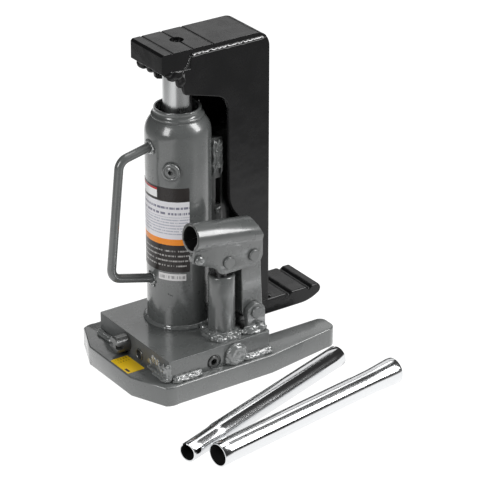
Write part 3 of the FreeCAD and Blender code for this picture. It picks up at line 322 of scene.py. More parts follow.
# light, dark, gloss, peel, coat, specular
GREY = enamel("grey_enamel", (0.115, 0.121, 0.119), (0.09, 0.095, 0.094), 0.27, 1.0, 0.8, 0.6)
# A lighter copy of the grey enamel. Its lighter colour is painted highlight on the welds, the clamp screw and
# the delivery boss; its gloss and coat are real.
GREY_PAINTED_HIGHLIGHT = enamel("grey_enamel_with_painted_highlight", (0.17, 0.178, 0.176), (0.11, 0.116, 0.115), 0.16, 0.6, 1.0, 0.9)
# Darker and rougher than the grey enamel; it goes on the block's front face.
GREY_ROUGH = enamel("grey_enamel_darker_on_block_front", (0.1, 0.105, 0.104), (0.045, 0.047, 0.047), 0.5, 4.0, 0.1, 0.25)
GREY_DARK = enamel("grey_enamel_on_iron", (0.06, 0.062, 0.061), (0.035, 0.037, 0.036), 0.35, 2.0)
BLACK = enamel("black_enamel", (0.0085, 0.0085, 0.009), (0.006, 0.006, 0.0063), 0.22, 1.1, 0.0, 0.3)
BLACK_WELD = enamel("black_enamel_on_weld", (0.009, 0.009, 0.0095), (0.005, 0.005, 0.005),
                    0.14, 0.6, 1.0, 0.8)
RAM_CHROME = plated("ram_chrome", (0.6, 0.61, 0.61), 0.26, (0.0, 0.0, 0.0), (1.0, 1.0, 40.0), 0.00003)
UPPER_ZINC = plated("upper_tube_zinc", (0.8, 0.81, 0.82), 0.13, (0.0, 0.0, UPPER_HEADING))
LOWER_ZINC = plated("lower_tube_zinc", (0.8, 0.81, 0.82), 0.12, (0.0, 0.0, LOWER_HEADING))
STEEL = machined("machined_steel", (0.42, 0.42, 0.43), 0.35)
DARK_STEEL = machined("oiled_steel", (0.12, 0.12, 0.12), 0.4)
# Near black on the faces inside the socket and the tubes: painted shade in the bores.
BORE_PAINTED_SHADE = enamel("painted_shade_in_bores", (0.014, 0.014, 0.014), (0.006, 0.006, 0.006), 0.5, 1.0, 0.0, 0.2)
NITRILE = rubber("nitrile_rubber", (0.03, 0.03, 0.03))
PLUG_RUBBER = enamel("painted_rubber", (0.13, 0.136, 0.135), (0.1, 0.105, 0.104), 0.25, 0.5, 0.8, 0.6)


# ---------------------------------------------------------------- making pieces

def settle(name, bm, body, finish, nodes=(), crease=32.0, inside=None):
    """Closes a mesh as a piece that rides on a body and stands for CAD nodes."""
    mesh = bpy.data.meshes.new(name)
    bm.to_mesh(mesh)
    bm.free()
    mesh.shade_smooth()
    mesh.set_sharp_from_angle(angle=math.radians(crease))
    mesh.materials.append(finish)
    if inside:
        mesh.materials.append(inside)
    piece = bpy.data.objects.new(name, mesh)
    bpy.context.scene.collection.objects.link(piece)
    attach(piece, body)
    if nodes:
        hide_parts(*nodes)
    return piece


def node_copy(node):
    """A CAD node's mesh, merged, with its flat faces made whole."""
    bm = bmesh.new()
    bm.from_mesh(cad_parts[node].data)
    bmesh.ops.remove_doubles(bm, verts=bm.verts, dist=0.002 * MM)
    bmesh.ops.dissolve_limit(bm, angle_limit=math.radians(1.0), verts=bm.verts, edges=bm.edges)
    return bm


def soften(bm, edge, segments=3, sharp=28.0, pick=None):
    """Rounds the sharp edges, or those of them that are picked."""
    edges = [line for line in bm.edges if len(line.link_faces) == 2
             and line.calc_face_angle() > math.radians(sharp) and (pick is None or pick(line))]
    bmesh.ops.bevel(bm, geom=edges, offset=edge * MM, offset_type="OFFSET", segments=segments,
                    profile=0.5, affect="EDGES", material=-1, clamp_overlap=True)
    return bm


def evened(piece):
    """Keeps broad flat faces evenly lit up to their rounded edges."""
    even = piece.modifiers.new("even", "WEIGHTED_NORMAL")
    even.keep_sharp = True
    return piece


def softened(node, body, finish, edge=0.6, segments=3, crease=40.0):
    """A CAD node with rounded edges, in its own place."""
    bm = soften(node_copy(node), edge, segments)
    return evened(settle(node + "_soft", bm, body, finish, (node,), crease))


def lathed(profile, spot, turn=None, steps=112):
    """A closed turned shape from (radius, height) pairs, with its foot at spot."""
    bm = bmesh.new()
    corners = [bm.verts.new((radius * MM, 0.0, height * MM)) for radius, height in profile]
    rims = [bm.edges.new(pair) for pair in zip(corners, corners[1:] + corners[:1])
            if not pair[0].co.x == pair[1].co.x == 0.0]
    bmesh.ops.spin(bm, geom=corners + rims, cent=(0.0, 0.0, 0.0), axis=(0.0, 0.0, 1.0),
                   angle=math.tau, steps=steps, use_merge=True)
    bmesh.ops.remove_doubles(bm, verts=bm.verts, dist=0.001 * MM)
    bmesh.ops.recalc_face_normals(bm, faces=bm.faces)
    where = Matrix.Translation(Vector(spot) * MM)
    bmesh.ops.transform(bm, matrix=where @ turn if turn else where, verts=bm.verts)
    return bm


def upright(heading, centre, wide, tall):
    """A station for a swept ring: across the heading, with its second axis as upright as can be."""
    ahead = heading.normalized()
    side = ahead.cross(Vector((0.0, 0.0, 1.0)))
    if side.length < 0.05:
        side = ahead.cross(Vector((0.0, 1.0, 0.0)))
    side.normalize()
    top = side.cross(ahead)
    turn = Matrix((side * wide, top * tall, ahead)).transposed().to_4x4()
    turn.translation = centre
    return turn


def swept(bm, stations, sides=18):
    """A closed bar through a row of stations."""
    ring = bmesh.ops.create_circle(bm, cap_ends=True, radius=1.0, segments=sides)["verts"]
    end = ring[0].link_faces[0]
    bmesh.ops.transform(bm, matrix=stations[0], verts=ring)
    made = list(ring)
    for before, after in zip(stations, stations[1:]):
        grown = bmesh.ops.extrude_face_region(bm, geom=[end])["geom"]
        if before is not stations[0]:
            bmesh.ops.delete(bm, geom=[end], context="FACES_ONLY")
        ring = [part for part in grown if isinstance(part, bmesh.types.BMVert)]
        end = [part for part in grown if isinstance(part, bmesh.types.BMFace)][0]
        bmesh.ops.transform(bm, matrix=after @ before.inverted(), verts=ring)
        made += ring
    return made


def roughen(verts, grain, depth, seed):
    """Moves points by smooth noise: grain is the size of a lump, in millimetres."""
    shift = Vector((seed * 3.7, seed * 1.3, seed * 2.1))
    for vert in verts:
        vert.co += noise.noise_vector(vert.co / (grain * MM) + shift) * depth * MM


def weld_pass(bm, path, radius, seed, step=0.6, ripple=0.07, squash=0.85, lump=0.35):
    """One pass of weld along a path in millimetres: overlapping ripples, uneven in width."""
    chance = random.Random(seed)
    spots = [Vector(point) * MM for point in path]
    lengths = [(after - before).length for before, after in zip(spots, spots[1:])]
    total = sum(lengths)
    count = max(int(total / (step * MM)), 4)
    wave, drift, stations = chance.uniform(0.0, 6.0), chance.uniform(0.0, 9.0), []
    for number in range(count + 1):
        want, leg = total * number / count, 0
        while leg < len(lengths) - 1 and want > lengths[leg]:
            want -= lengths[leg]
            leg += 1
        centre = spots[leg].lerp(spots[leg + 1], min(want / lengths[leg], 1.0))
        share = number / count
        taper = min(1.0, 0.35 + 5.0 * min(share, 1.0 - share) * total / (radius * MM) / 10.0)
        wave += 0.72 + 0.25 * chance.random()
        uneven = 0.16 * noise.noise(Vector((drift + number * 0.13, 0, 0)))
        width = radius * MM * taper * (1.0 + ripple * math.sin(wave) + uneven)
        stations.append(upright(spots[leg + 1] - spots[leg], centre, width, width * squash))
    made = swept(bm, stations, 14)
    roughen(made, 3.2, lump * 1.6, seed)
    return made


def melt(piece, grain, rounds):
    """Runs the overlapping lumps of a piece together into one skin."""
    skin = piece.modifiers.new("skin", "REMESH")
    skin.mode = "VOXEL"
    skin.voxel_size = grain * MM
    flow = piece.modifiers.new("flow", "SMOOTH")
    flow.iterations = rounds
    flow.factor = 0.5
    finish = piece.data.materials[0]
    shape = bpy.data.meshes.new_from_object(piece.evaluated_get(bpy.context.evaluated_depsgraph_get()))
    piece.modifiers.clear()
    piece.data = shape
    shape.materials.clear()
    shape.materials.append(finish)
    shape.shade_smooth()
    return piece


def welded(name, passes, body, slot, finish, nodes=(), seed=1, lumps=(), grain=0.32, rounds=4, **look):
    """A weld of several passes, each a path and a radius, with lumps, each a spot and a size."""
    bm = bmesh.new()
    for number, (path, radius) in enumerate(passes):
        weld_pass(bm, path, radius, seed * 31 + number, **look)
    for number, (spot, size) in enumerate(lumps):
        blob(bm, spot, size, seed + number, 0.5, 3.4)
    bmesh.ops.recalc_face_normals(bm, faces=bm.faces)
    return melt(settle(name, bm, body, finish, nodes, 60.0), grain, rounds)


def paint_shade_in_bore(bm, spot, heading, radius):
    """Gives the faces that look inwards round an axis the second finish, near black as painted shade."""
    start, ahead = Vector(spot) * MM, Vector(heading).normalized()
    for face in bm.faces:
        out = face.calc_center_median() - start
        out -= ahead * out.dot(ahead)
        if out.length < radius * MM and face.normal.dot(out) < -0.3 * out.length:
            face.material_index = 1


def blob(bm, centre, size, seed, lump=0.6, grain=3.0):
    """A lump of weld or spatter."""
    made = bmesh.ops.create_icosphere(bm, subdivisions=4, radius=1.0)["verts"]
    where = Matrix.Translation(Vector(centre) * MM) @ Matrix.Diagonal((*(Vector(size) * MM), 1.0))
    bmesh.ops.transform(bm, matrix=where, verts=made)
    roughen(made, grain, lump, seed)


def arc(centre, radius, height, start, end, step=4.0):
    """Points of a level arc, in millimetres, from one angle to another in degrees."""
    count = max(int(abs(end - start) / step), 2)
    points = []
    for number in range(count + 1):
        turn = math.radians(start + (end - start) * number / count)
        points.append((centre[0] + radius * math.cos(turn), centre[1] + radius * math.sin(turn), height))
    return points


def less(piece, cutter):
    """Cuts a shape out of a piece and leaves the result in its mesh."""
    tool = bpy.data.objects.new("cutter", bpy.data.meshes.new("cutter"))
    cutter.to_mesh(tool.data)
    cutter.free()
    bpy.context.scene.collection.objects.link(tool)
    change = piece.modifiers.new("cut", "BOOLEAN")
    change.object = tool
    change.operation = "DIFFERENCE"
    change.solver = "EXACT"
    shape = bpy.data.meshes.new_from_object(piece.evaluated_get(bpy.context.evaluated_depsgraph_get()))
    piece.modifiers.clear()
    piece.data = shape
    bpy.data.objects.remove(tool)
    return piece


def block_bm(low, high):
    """A plain block between two corners in millimetres, for cutting."""
    bm = bmesh.new()
    bmesh.ops.create_cube(bm, size=1.0)
    size = Vector(high) - Vector(low)
    middle = (Vector(high) + Vector(low)) / 2
    where = Matrix.Translation(middle * MM) @ Matrix.Diagonal((*(size * MM), 1.0))
    bmesh.ops.transform(bm, matrix=where, verts=bm.verts)
    return bm


# ---------------------------------------------------------------- base plate and block

def base():
    """The forked plate and the pump block on it, with the sticker and the rough welds between them."""
    plate = node_copy("base_plate")
    soften(plate, 1.1, 3, 40.0)
    settle("plate_soft", plate, "jack_base", GREY, ("base_plate",), 40.0)
    block = node_copy("pump_block")
    soften(block, 0.9, 3, 40.0)
    # The block's front face takes a darker, rougher grey than its other faces.
    for face in block.faces:
        if face.normal.y < -0.9:
            face.material_index = 1
    evened(settle("block_soft", block, "jack_base", GREY, ("pump_block",), 40.0, GREY_ROUGH))
    sticker = node_copy("base_sticker")
    rounded = [edge for edge in sticker.edges if abs(edge.verts[0].co.z - edge.verts[1].co.z) > 0.1 * MM]
    bmesh.ops.bevel(sticker, geom=rounded, offset=1.0 * MM, segments=3, profile=0.5, affect="EDGES",
                    material=-1)
    settle("sticker", sticker, "jack_base", sticker_vinyl(), ("base_sticker",))
    near, far = BLOCK_NEAR, extent("pump_block", 0, 0)
    front, rear = extent("pump_block", 1, 0), extent("pump_block", 1, 1)
    passes = []
    for out, up, radius in ((2.6, 1.3, 1.75), (1.0, 3.1, 1.6), (0.9, 1.1, 1.7)):
        high = PLATE_TOP + up
        passes += [([(near + out, front + 2, high), (near + out, front + 28.5, high)], radius),
                   ([(near + out, rear + 1.6, high), (near + out, rear - 24.5, high)], radius),
                   ([(far - out, rear - 28.5, high), (far - out, rear - 3, high)], radius),
                   ([(far - out, front + 3, high), (far - out, front + 29, high)], radius),
                   ([(near - 0.5, front - out, high), (near - 20, front - out, high)], radius),
                   ([(far + 0.5, front - out, high), (far + 21, front - out, high)], radius)]
    welded("block_weld_beads", passes, "jack_base", "grey_paint", GREY_PAINTED_HIGHLIGHT, ("block_welds",), 3, squash=0.9)
    patch = []
    for number, across in enumerate((59.6, 56.9, 54.0, 51.0, 47.8)):
        top = 31.0 - 0.9 * number - 1.6 * (number % 2)
        foot = (across, front - 0.1, PLATE_TOP + 1)
        patch.append(([foot, (across - 0.4, front - 0.3, top)], 2.1 - 0.15 * number))
    patch.append(([(near - 0.4, front + 0.6, PLATE_TOP + 1), (near - 0.6, front + 0.5, 31.0)], 1.6))
    patch.append(([(30.0, front - 0.3, 17.6), (47.0, front - 0.6, 17.2)], 1.6))
    lumps = (((57.0, front - 0.6, 23.0), (4.6, 1.8, 5.4)), ((52.0, front - 0.6, 20.5), (4.6, 1.7, 4.0)),
             ((58.0, front - 0.8, 18.5), (4.0, 2.6, 2.6)), ((45.0, front + 0.1, 24.0), (3.6, 1.0, 5.2)),
             ((39.0, front + 0.2, 26.0), (4.0, 0.8, 4.0)), ((33.0, front + 0.3, 22.0), (3.4, 0.8, 3.6)),
             ((-12.0, front - 1.0, 18.5), (5.0, 3.2, 3.4)), ((-18.0, front - 1.0, 18.0), (4.0, 2.6, 2.4)))
    welded("block_corner_weld", patch, "jack_base", "grey_paint", GREY_PAINTED_HIGHLIGHT, (), 9, lumps, lump=0.5)


# ---------------------------------------------------------------- reservoir

def reservoir():
    """The tank with its rolled collar and the dent round its filler hole, welded to the block."""
    low, rim = BLOCK_TOP, TANK_RIM
    dome, rise, fall = rim - 8.0, 12.0, 4.7
    shoulder = dome - rise
    profile = [(TANK_RADIUS, low + 1.6 * step) for step in range(96)]
    swing = (rise * rise + fall * fall) / (2 * fall)
    for step in range(13):
        height = rise * step / 12
        inward = swing - math.sqrt(swing * swing - height * height)
        profile.append((TANK_RADIUS - inward, shoulder + height))
    profile += [(20.1, dome + 0.25), (19.45, dome + 0.6), (19.4, dome + 1.1), (19.9, dome + 1.5),
                (20.05, dome + 2.1), (19.8, dome + 2.7), (18.7, dome + 3.2), (18.1, dome + 3.8),
                (17.75, dome + 5.2), (17.7, rim - 2.3), (17.95, rim - 1.8), (17.95, rim - 0.7),
                (17.7, rim - 0.15), (17.3, rim), (16.5, rim), (16.1, rim - 0.4), (16.0, rim - 1.0),
                (16.0, rim - 14.0), (22.6, shoulder - 1.0), (22.6, low)]
    bm = lathed(profile, (0, 0, 0), steps=144)
    middle = Vector((math.cos(PLUG_TURN), math.sin(PLUG_TURN), 0.0)) * TANK_RADIUS * MM
    middle.z = PLUG_HEIGHT * MM
    dent_reach, dent_depth = 12.5, 1.5
    for vert in bm.verts:
        away = (vert.co - middle).length / MM
        if away < dent_reach and Vector((vert.co.x, vert.co.y)).length > (TANK_RADIUS - 1) * MM:
            depth = dent_depth * (0.5 + 0.5 * math.cos(math.pi * away / dent_reach))
            flat = Vector((vert.co.x, vert.co.y, 0.0)).normalized()
            vert.co -= flat * depth * MM
    tank = settle("reservoir", bm, "jack_base", GREY, ("reservoir_tube",), 45.0)
    hole = lathed([(0, 0), (4.1, 0), (4.1, 40), (0, 40)], (0, 0, PLUG_HEIGHT),
                  Matrix.Rotation(PLUG_TURN, 4, "Z") @ AXIS_X, 32)
    less(tank, hole)
    ring = arc((0, 0), 26.0, low + 0.8, 0, 363)
    thin = arc((0, 0), 25.4, low + 2.3, 20, 378)
    welded("reservoir_bead", [(ring, 1.9), (thin, 1.2)], "jack_base", "grey_paint", GREY_PAINTED_HIGHLIGHT,
           ("reservoir_weld",), 5, squash=0.8, lump=0.12, ripple=0.03)
    spatter = bmesh.new()
    chance = random.Random(4)
    for number in range(16):
        turn, reach = math.radians(chance.uniform(-120, 30)), chance.uniform(29, 34)
        size = chance.uniform(0.25, 0.6)
        spot = (reach * math.cos(turn), reach * math.sin(turn), low)
        blob(spatter, spot, (size, size, size * 0.7), number, 0.1, 1.0)
    for turn, height, size in ((-53, 62.6, 0.7), (-50, 61.9, 0.8), (-47, 61.6, 0.6)):
        spin = math.radians(turn)
        spot = (TANK_RADIUS * math.cos(spin), TANK_RADIUS * math.sin(spin), height)
        blob(spatter, spot, (size, size, size * 0.8), turn, 0.2, 1.2)
    settle("weld_spatter", spatter, "jack_base", GREY_PAINTED_HIGHLIGHT, (), 60.0)


def plug():
    """The rubber filler plug, its face dished round a blind hole."""
    stem = [(0, -7), (3.8, -7), (3.8, -1.4)]
    lip = [(5.6, -1.4), (6.6, -0.6), (7.0, 0.3), (6.9, 1.1), (6.4, 1.8), (5.6, 2.1), (4.9, 1.9)]
    face = [(4.5, 1.3), (4.1, 1.3), (3.3, 1.8), (2.5, 2.2), (2.0, 2.2), (1.75, 1.8), (1.75, -1.0), (0, -1.0)]
    turn = Matrix.Rotation(PLUG_TURN, 4, "Z") @ AXIS_X
    out = (TANK_RADIUS + 0.05) * math.sqrt(0.5)
    bm = lathed(stem + lip + face, (out, -out, PLUG_HEIGHT), turn, 64)
    settle("filler_plug_moulded", bm, "filler", PLUG_RUBBER, ("filler_plug",), 50.0)


def wrapped(name, low, tall, start, end, finish, node, corner):
    """A label bent round the reservoir, with rounded corners."""
    bm = bmesh.new()
    steps = int((end - start) / 1.5)
    bmesh.ops.create_grid(bm, x_segments=steps, y_segments=1, size=0.5)
    long = math.radians(end - start) * TANK_RADIUS
    bmesh.ops.scale(bm, vec=(long * MM, tall * MM, 1.0), verts=bm.verts)
    tips = [vert for vert in bm.verts if len(vert.link_edges) == 2]
    bmesh.ops.bevel(bm, geom=tips, offset=corner * MM, segments=4, profile=0.5, affect="VERTICES",
                    material=-1, clamp_overlap=False)
    bmesh.ops.remove_doubles(bm, verts=bm.verts, dist=0.01 * MM)
    grown = bmesh.ops.extrude_face_region(bm, geom=bm.faces[:])["geom"]
    lifted = [part for part in grown if isinstance(part, bmesh.types.BMVert)]
    bmesh.ops.translate(bm, verts=lifted, vec=(0, 0, 0.14 * MM))
    bmesh.ops.recalc_face_normals(bm, faces=bm.faces)
    for vert in bm.verts:
        turn = math.radians((start + end) / 2) + vert.co.x / (TANK_RADIUS * MM)
        reach = (TANK_RADIUS + 0.02) * MM + vert.co.z
        height = (low + tall / 2) * MM + vert.co.y
        vert.co = Vector((reach * math.cos(turn), reach * math.sin(turn), height))
    bmesh.ops.recalc_face_normals(bm, faces=bm.faces)
    settle(name, bm, "jack_base", finish, (node,), 40.0)


def carry_handle():
    """A bent rod with a lumpy ring of weld at each end."""
    skin, high, low = -24.6, 180.0, 71.6
    corners = [Vector((0, skin, high)), Vector((0, -51.2, high - 5.8)), Vector((0, -60.8, low + 9.6)),
               Vector((0, skin, low))]
    bend, rod = 9.0, 3.5
    route = [corners[0]]
    for before, here, after in zip(corners, corners[1:], corners[2:]):
        back, on = (before - here).normalized(), (after - here).normalized()
        half = back.angle(on) / 2
        reach = bend / math.tan(half)
        hub = here + (back + on).normalized() * (bend / math.sin(half))
        first, last = here + back * reach - hub, here + on * reach - hub
        turn = first.angle(last)
        axle = first.cross(last).normalized()
        for step in range(13):
            route.append(hub + Matrix.Rotation(turn * step / 12, 3, axle) @ first)
    route.append(corners[-1])
    spots = [point * MM for point in route]
    stations = []
    for number, spot in enumerate(spots):
        before, after = spots[max(number - 1, 0)], spots[min(number + 1, len(spots) - 1)]
        ahead = (after - before).normalized()
        side = Vector((1.0, 0.0, 0.0))
        turn = Matrix((side * rod * MM, ahead.cross(side) * rod * MM, ahead)).transposed().to_4x4()
        turn.translation = spot
        stations.append(turn)
    bm = bmesh.new()
    swept(bm, stations, 32)
    bmesh.ops.recalc_face_normals(bm, faces=bm.faces)
    settle("carry_handle_rod", bm, "jack_base", GREY, ("carry_handle",), 50.0)
    passes = []
    for height, tilt in ((179.7, -0.252), (71.8, 0.3)):
        path = []
        for step in range(38):
            turn = math.radians(step * 10)
            back = -24.8 + tilt * math.sin(turn) + 0.4 * (1 - abs(math.sin(turn)))
            path.append((4.6 * math.cos(turn), back, height + 4.6 * math.sin(turn)))
        passes.append((path, 1.6))
    passes.append(([(1.0, -25.5, 65.8), (4.4, -24.9, 66.6)], 1.5))
    passes.append(([(4.2, -24.9, 182.8), (5.6, -24.6, 178.0), (5.0, -24.7, 175.4)], 1.7))
    welded("carry_handle_beads", passes, "jack_base", "grey_paint", GREY_PAINTED_HIGHLIGHT, ("carry_handle_welds",), 12,
           lump=0.45)


def guide():
    """The saddle and rail behind the reservoir, with the rough weld on the side of the saddle."""
    saddle = node_copy("guide_saddle")
    soften(saddle, 0.4, 2, 40.0)
    piece = settle("guide_saddle_soft", saddle, "jack_base", GREY_DARK, ("guide_saddle",), 40.0)
    for side in (1, -1):
        low, high = sorted((side * 9.0, side * 16.0))
        less(piece, block_bm((low, 23.6, 125.0), (high, 28.4, 147.0)))
    rail = node_copy("guide_rail")
    soften(rail, 0.5, 2, 40.0)
    settle("guide_rail_soft", rail, "jack_base", GREY_DARK, ("guide_rail",), 40.0)
    passes = []
    for side in (1, -1):
        for number, back in enumerate((21.6, 23.9, 26.3, 28.6)):
            top, foot = 179.0 - 1.3 * (number % 2), 149.5 + 2.2 * (number % 3)
            passes.append(([(side * 14.7, back, top), (side * 14.6, back + 0.3, (top + foot) / 2),
                            (side * 14.7, back, foot)], 1.55))
        passes.append(([(side * 14.6, 22.5, 121.5), (side * 14.8, 28.0, 122.5)], 1.5))
        passes.append(([(side * 14.6, 23.0, 119.0), (side * 14.8, 27.0, 119.5)], 1.3))
        passes.append(([(side * 14.7, 22.3, 96.0), (side * 14.7, 22.3, 60.0)], 1.3))
    welded("guide_welds", passes, "jack_base", "grey_paint", GREY, (), 21, lump=0.6, rounds=5)


# ---------------------------------------------------------------- ram and claw

def ram():
    """The polished ram on its spigot, bored for the head screw."""
    foot, radius, hole = extent("ram", 2, 0), 11, 3.9
    profile = [(0, foot), (5.9, foot), (5.9, 74)]
    profile += [(radius, height) for height in (74, 120, 160, 200, HEAD_FOOT - 0.9)]
    profile += [(radius - 1, HEAD_FOOT), (hole, HEAD_FOOT), (hole, HEAD_FOOT - 20), (0, HEAD_FOOT - 20)]
    bm = lathed(profile, (0, 0, 0), steps=128)
    settle("ram_polished", bm, "lift", RAM_CHROME, ("ram",), 40.0)


def claw_shell():
    """The folded shell, rounded at its back and open towards the reservoir."""
    side = node_copy("claw_cheek_near")
    outer = max(side.faces, key=lambda face: face.calc_center_median().x * 1000 + face.calc_area())
    rest = [face for face in side.faces if face is not outer]
    bmesh.ops.delete(side, geom=rest, context="FACES")
    grown = bmesh.ops.extrude_face_region(side, geom=side.faces[:])["geom"]
    across = [part for part in grown if isinstance(part, bmesh.types.BMVert)]
    bmesh.ops.translate(side, verts=across, vec=(-2 * CLAW_HALF * MM, 0, 0))
    bmesh.ops.recalc_face_normals(side, faces=side.faces)

    def rear_edge(line):
        one, two = line.verts
        behind = min(one.co.y, two.co.y) > 65.0 * MM and max(one.co.z, two.co.z) > 40 * MM
        return behind and (abs(one.co.x - two.co.x) < 1e-6 or min(one.co.z, two.co.z) > 245 * MM)

    soften(side, 5.0, 6, 28.0, rear_edge)
    soften(side, 1.0, 3, 50.0, lambda line: max(line.verts[0].co.y, line.verts[1].co.y) < 60 * MM)
    shell = settle("claw_shell", side, "lift", BLACK,
                   ("claw_cheek_near", "claw_cheek_far", "claw_back_plate"), 40.0)
    inner, back = extent("claw_back_plate", 0, 1), extent("claw_back_plate", 1, 0)
    channel = block_bm((-inner, -40, 20), (inner, back, 260))
    soften(channel, 1.5, 3, 40.0, lambda line: abs(line.verts[0].co.z - line.verts[1].co.z) > 50 * MM)
    less(shell, channel)
    evened(shell)


def claw_head():
    """The load plate, rounded over at its back."""
    head = node_copy("claw_head_plate")
    rear = max(vert.co.y for vert in head.verts)

    def head_rear(line):
        one, two = line.verts
        behind = min(one.co.y, two.co.y) > rear - 0.5 * MM
        return behind and (abs(one.co.z - two.co.z) > 2 * MM or min(one.co.z, two.co.z) > 257 * MM)

    def head_outside(line):
        one, two = line.verts
        beside = min(abs(one.co.x), abs(two.co.x)) > (CLAW_HALF - 0.1) * MM
        return beside or max(one.co.y, two.co.y) < -24 * MM

    soften(head, 4.4, 8, 28.0, head_rear)
    soften(head, 1.1, 3, 14.0, head_outside)
    soften(head, 0.3, 2, 35.0)
    evened(settle("claw_head_soft", head, "lift", BLACK, ("claw_head_plate",), 40.0))


def claw_toe():
    """The ribbed toe and the lips that run on the guide."""
    toe = node_copy("claw_toe")
    soften(toe, 1.4, 4, 28.0)
    evened(settle("claw_toe_soft", toe, "lift", BLACK, ("claw_toe",), 40.0))
    softened("claw_guide_lips", "lift", BLACK, 0.5, 2)


def claw_welds():
    """The seams under the load plate, the lumps at its front corners, the toe's welds and the screw."""
    seam = 253.4
    passes = []
    for out in (21.1, -21.1):
        edge = out * 0.985
        passes.append(([(edge, 64.5, seam + 0.3), (edge, 40.0, seam + 0.1),
                        (edge, 18.0, seam + 0.3), (edge, -3.0, seam)], 2.0))
        passes.append(([(edge, -2.0, seam - 1.0), (out * 0.98, -3.5, 248.0),
                        (out * 0.975, -7.5, 243.0)], 1.1))
        passes.append(([(out * 0.99, -9.0, 243.5), (out * 0.93, -7.5, 236.0), (out * 0.9, -5.5, 227.0)], 1.9))
    passes.append(([(-19.0, 69.2, 37.6), (19.0, 69.2, 37.6)], 2.3))
    passes.append(([(-19.0, 71.6, 36.2), (19.0, 71.6, 36.2)], 1.7))
    welded("claw_seam_welds", passes, "lift", "black_paint", BLACK_WELD, (), 33,
           lump=0.16, squash=0.8, ripple=0.03)
    corner = (((19.6, -14.0, 240.5), (2.6, 8.0, 4.6)), ((18.9, -9.0, 235.5), (2.8, 4.6, 6.4)),
              ((16.5, -16.0, 242.0), (5.0, 7.4, 3.2)), ((-16.5, -16.5, 239.6), (4.6, 7.6, 5.0)),
              ((-17.5, -11.0, 234.5), (3.6, 4.4, 5.0)), ((-13.0, -17.5, 242.0), (5.0, 6.6, 3.0)),
              ((0.0, -12.5, 243.2), (10.5, 3.0, 1.8)), ((11.5, -10.0, 243.0), (5.0, 5.0, 2.4)),
              ((-11.5, -10.0, 243.0), (5.0, 5.0, 2.4)), ((18.8, -5.8, 229.5), (2.2, 2.6, 5.4)),
              ((-18.8, -5.8, 229.5), (2.2, 2.6, 5.4)), ((19.6, -19.5, 242.6), (1.9, 5.0, 2.8)),
              ((-19.7, 27.0, 204.0), (1.5, 7.6, 9.0)))
    welded("claw_corner_welds", [], "lift", "black_paint", BLACK, ("claw_welds",), 5, corner, rounds=6)
    softened("head_screw", "lift", BLACK, 0.25, 2)


def claw():
    claw_shell()
    claw_head()
    claw_toe()
    claw_welds()


# ---------------------------------------------------------------- pump, socket, link

def pump():
    """The pump's barrel and plunger, with the welds round its foot and the lugs."""
    top = extent("pump_cylinder", 2, 1)
    profile = [(0, BLOCK_TOP)]
    profile += [(PUMP_RADIUS, height) for height in (BLOCK_TOP, 50, 65, top - 0.9)]
    profile += [(9.95, top - 0.25), (9.4, top), (8.0, top), (7.5, top - 0.4), (7.5, top - 8), (5.2, top - 8),
                (5.2, BLOCK_TOP + 4), (0, BLOCK_TOP + 4)]
    bm = lathed(profile, (PUMP[0], PUMP[1], 0), steps=112)
    settle("pump_barrel", bm, "jack_base", GREY, ("pump_cylinder",), 40.0)
    softened("pump_plunger", "plunger", DARK_STEEL, 0.4, 2)
    passes = [(arc(PUMP, 11.4, BLOCK_TOP + 1.2, -170, 100), 2.6),
              (arc(PUMP, 10.9, BLOCK_TOP + 3.4, -150, 60), 1.6),
              (arc(PUMP, 14.0, BLOCK_TOP + 0.4, -125, 65), 2.2)]
    lumps = (((PUMP[0] + 7.5, -2.4, BLOCK_TOP + 1.6), (4.0, 3.4, 3.4)),
             ((53.6, 0.5, BLOCK_TOP + 1.0), (3.4, 4.2, 2.6)),
             ((55.2, 12.0, BLOCK_TOP + 0.8), (3.2, 4.0, 2.2)),
             ((31.0, 1.5, BLOCK_TOP + 1.2), (3.6, 3.0, 2.8)))
    welded("pump_foot_beads", passes, "jack_base", "grey_paint", GREY_PAINTED_HIGHLIGHT, ("pump_foot_weld",), 41, lumps,
           lump=0.5, squash=0.9, ripple=0.12, rounds=5)
    near = [([(55.2, 20.5, BLOCK_TOP + 1.2), (55.6, 42.0, BLOCK_TOP + 1.2)], 2.8),
            ([(53.9, 22.5, BLOCK_TOP + 3.6), (54.1, 42.0, BLOCK_TOP + 3.0)], 1.9),
            ([(50.5, 22.0, BLOCK_TOP + 1.4), (56.0, 21.5, BLOCK_TOP + 1.4)], 2.2)]
    far = [([(29.6, 24.5, BLOCK_TOP + 1.2), (29.4, 41.0, BLOCK_TOP + 1.2)], 2.1),
           ([(31.6, 41.8, BLOCK_TOP + 1.0), (52.0, 41.6, BLOCK_TOP + 1.0)], 1.4)]
    lumps = (((56.4, 27.0, BLOCK_TOP + 1.8), (3.0, 4.2, 3.2)),
             ((56.2, 36.5, BLOCK_TOP + 2.4), (3.2, 4.4, 3.8)),
             ((57.8, 31.5, BLOCK_TOP + 0.5), (2.4, 4.0, 1.8)))
    welded("lug_beads", near + far, "jack_base", "grey_paint", GREY_PAINTED_HIGHLIGHT, ("lug_welds",), 47, lumps,
           lump=0.5, squash=0.95, ripple=0.12, rounds=5)


